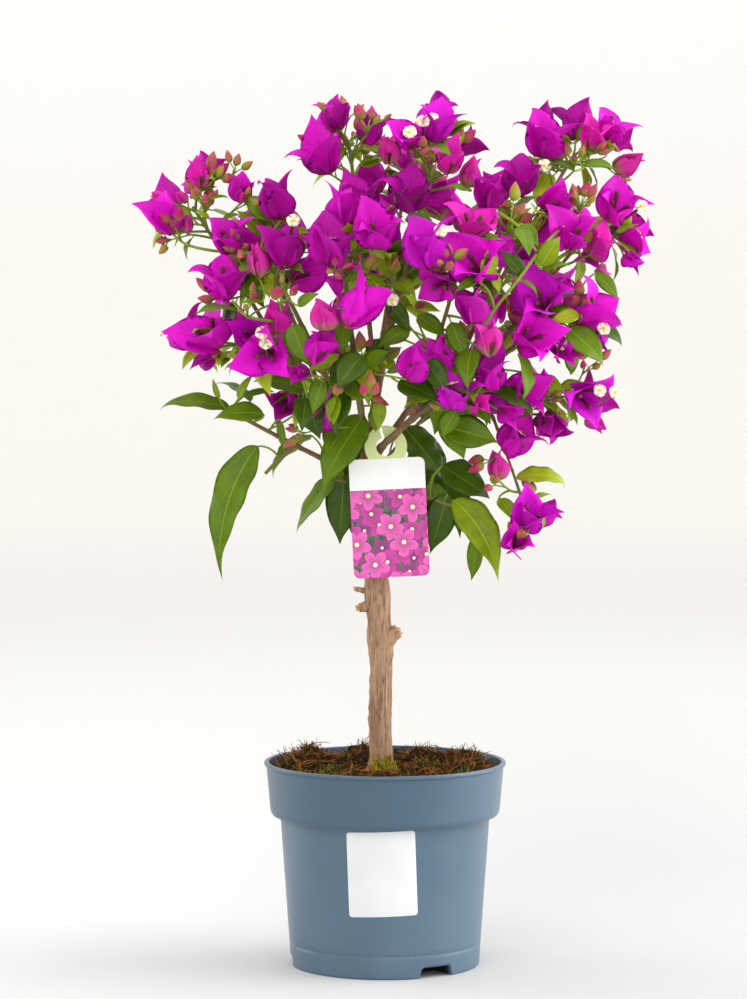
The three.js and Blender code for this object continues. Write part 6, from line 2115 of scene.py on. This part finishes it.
# ---- stage, light and camera ------------------------------------------------------------------------------
# The floor is darker near the pot, most of all on the right, where the lights fall harder.
FLOOR_LEFT, FLOOR_RIGHT = (0.69, 0.687, 0.68), (0.59, 0.587, 0.582)
FLOOR_MID, FLOOR_FAR, WALL_TOP = (0.835, 0.818, 0.787), (0.975, 0.95, 0.91), (1, 1, 1)
# In metres: from left to right near the pot, away from it to the next tints, and up to the wall's.
ACROSS, NEAR_TO_MID, MID_TO_FAR, WALL_RISE = (-0.25, 0.25), (0.3, 1.9), (1.9, 4.5), (0.35, 1.0)
STAGE = dict(flat=4.8, bend=2.4, top=4.5, rings=12, bend_rings=16, sides=72)


def stage_material():
    surface = Surface("studio_white", 0.8, specular_ior_level=0.1)
    place = surface.place()
    away = surface.length(place)
    x, _, z = surface.parts(place)
    body = surface.mix(surface.ramp(x, *ACROSS), FLOOR_LEFT, FLOOR_RIGHT)
    body = surface.mix(surface.ramp(away, *NEAR_TO_MID), body, FLOOR_MID)
    body = surface.mix(surface.ramp(away, *MID_TO_FAR), body, FLOOR_FAR)
    surface.colour(surface.mix(surface.ramp(z, *WALL_RISE), body, WALL_TOP))
    return surface.material


def stage():
    """A pale floor that runs up into a pale wall all round."""
    flat, bend, rings, sides = STAGE["flat"], STAGE["bend"], STAGE["rings"], STAGE["sides"]
    line = [(flat * i / rings, 0) for i in range(1, rings + 1)]
    turns = np.linspace(0.1, math.pi / 2, STAGE["bend_rings"])
    line += [(flat + bend * math.sin(t), bend * (1 - math.cos(t))) for t in turns]
    line.append((flat + bend, STAGE["top"]))
    points = [(0, 0, 0)] + [(x, y, height) for radius, height in line for x, y in circle(radius, sides)]
    faces = fan(0, 1, sides) + ring_faces(len(line), sides, 1, True)
    mesh = bpy.data.meshes.new("studio")
    mesh.from_pydata(points, [], faces)
    mesh.polygons.foreach_set("use_smooth", [True] * len(faces))
    mesh.materials.append(stage_material())
    made = bpy.data.objects.new("studio", mesh)
    bpy.context.scene.collection.objects.link(made)


stage()

scene = bpy.context.scene
scene.view_settings.view_transform = "Standard"
scene.view_settings.look = "None"
scene.world = bpy.data.worlds.new("studio_air")
scene.world.use_nodes = True
air = scene.world.node_tree.nodes["Background"]
air.inputs["Color"].default_value = (1, 1, 0.995, 1)
air.inputs["Strength"].default_value = 1.0

# Soft lights: name, place, height of the point on the axis that they aim at, width, height, power and tint.
LIGHTS = [
    ("key", (-0.55, -1.75, 1.9), 0.35, 1.2, 1.2, 11, (1, 1, 1)),
    ("front", (0.1, -2.3, 0.6), 0.35, 1.4, 0.8, 5, (1, 1, 1)),
    ("rim_right", (1.3, 0.0, 0.6), 0.25, 1.4, 1.5, 22, (0.96, 0.98, 1)),
    ("rim_left", (-1.3, 0.5, 0.5), 0.25, 0.5, 1.3, 6, (1, 1, 1)),
    ("top", (0.1, 0.2, 2.2), 0.3, 1.4, 1.4, 6, (1, 1, 1)),
]
for name, place, aim, width, height, power, tint in LIGHTS:
    data = bpy.data.lights.new(name, "AREA")
    data.shape = "RECTANGLE"
    data.size, data.size_y = width, height
    data.energy = power
    data.color = tint
    lamp = bpy.data.objects.new(name, data)
    lamp.location = place
    lamp.rotation_euler = (Vector(place) - Vector((0, 0, aim))).to_track_quat("Z", "Y").to_euler()
    scene.collection.objects.link(lamp)

CAMERA = dict(place=(-0.007295, -2.482251, 0.462369), down=3.8697, lens=142.466, nearest=0.05, furthest=60)
camera = bpy.data.cameras.new("camera")
camera.lens = CAMERA["lens"]
camera.clip_start, camera.clip_end = CAMERA["nearest"], CAMERA["furthest"]
view = bpy.data.objects.new("camera", camera)
view.location = CAMERA["place"]
view.rotation_euler = (math.radians(90 - CAMERA["down"]), 0, 0)
scene.collection.objects.link(view)
scene.camera = view
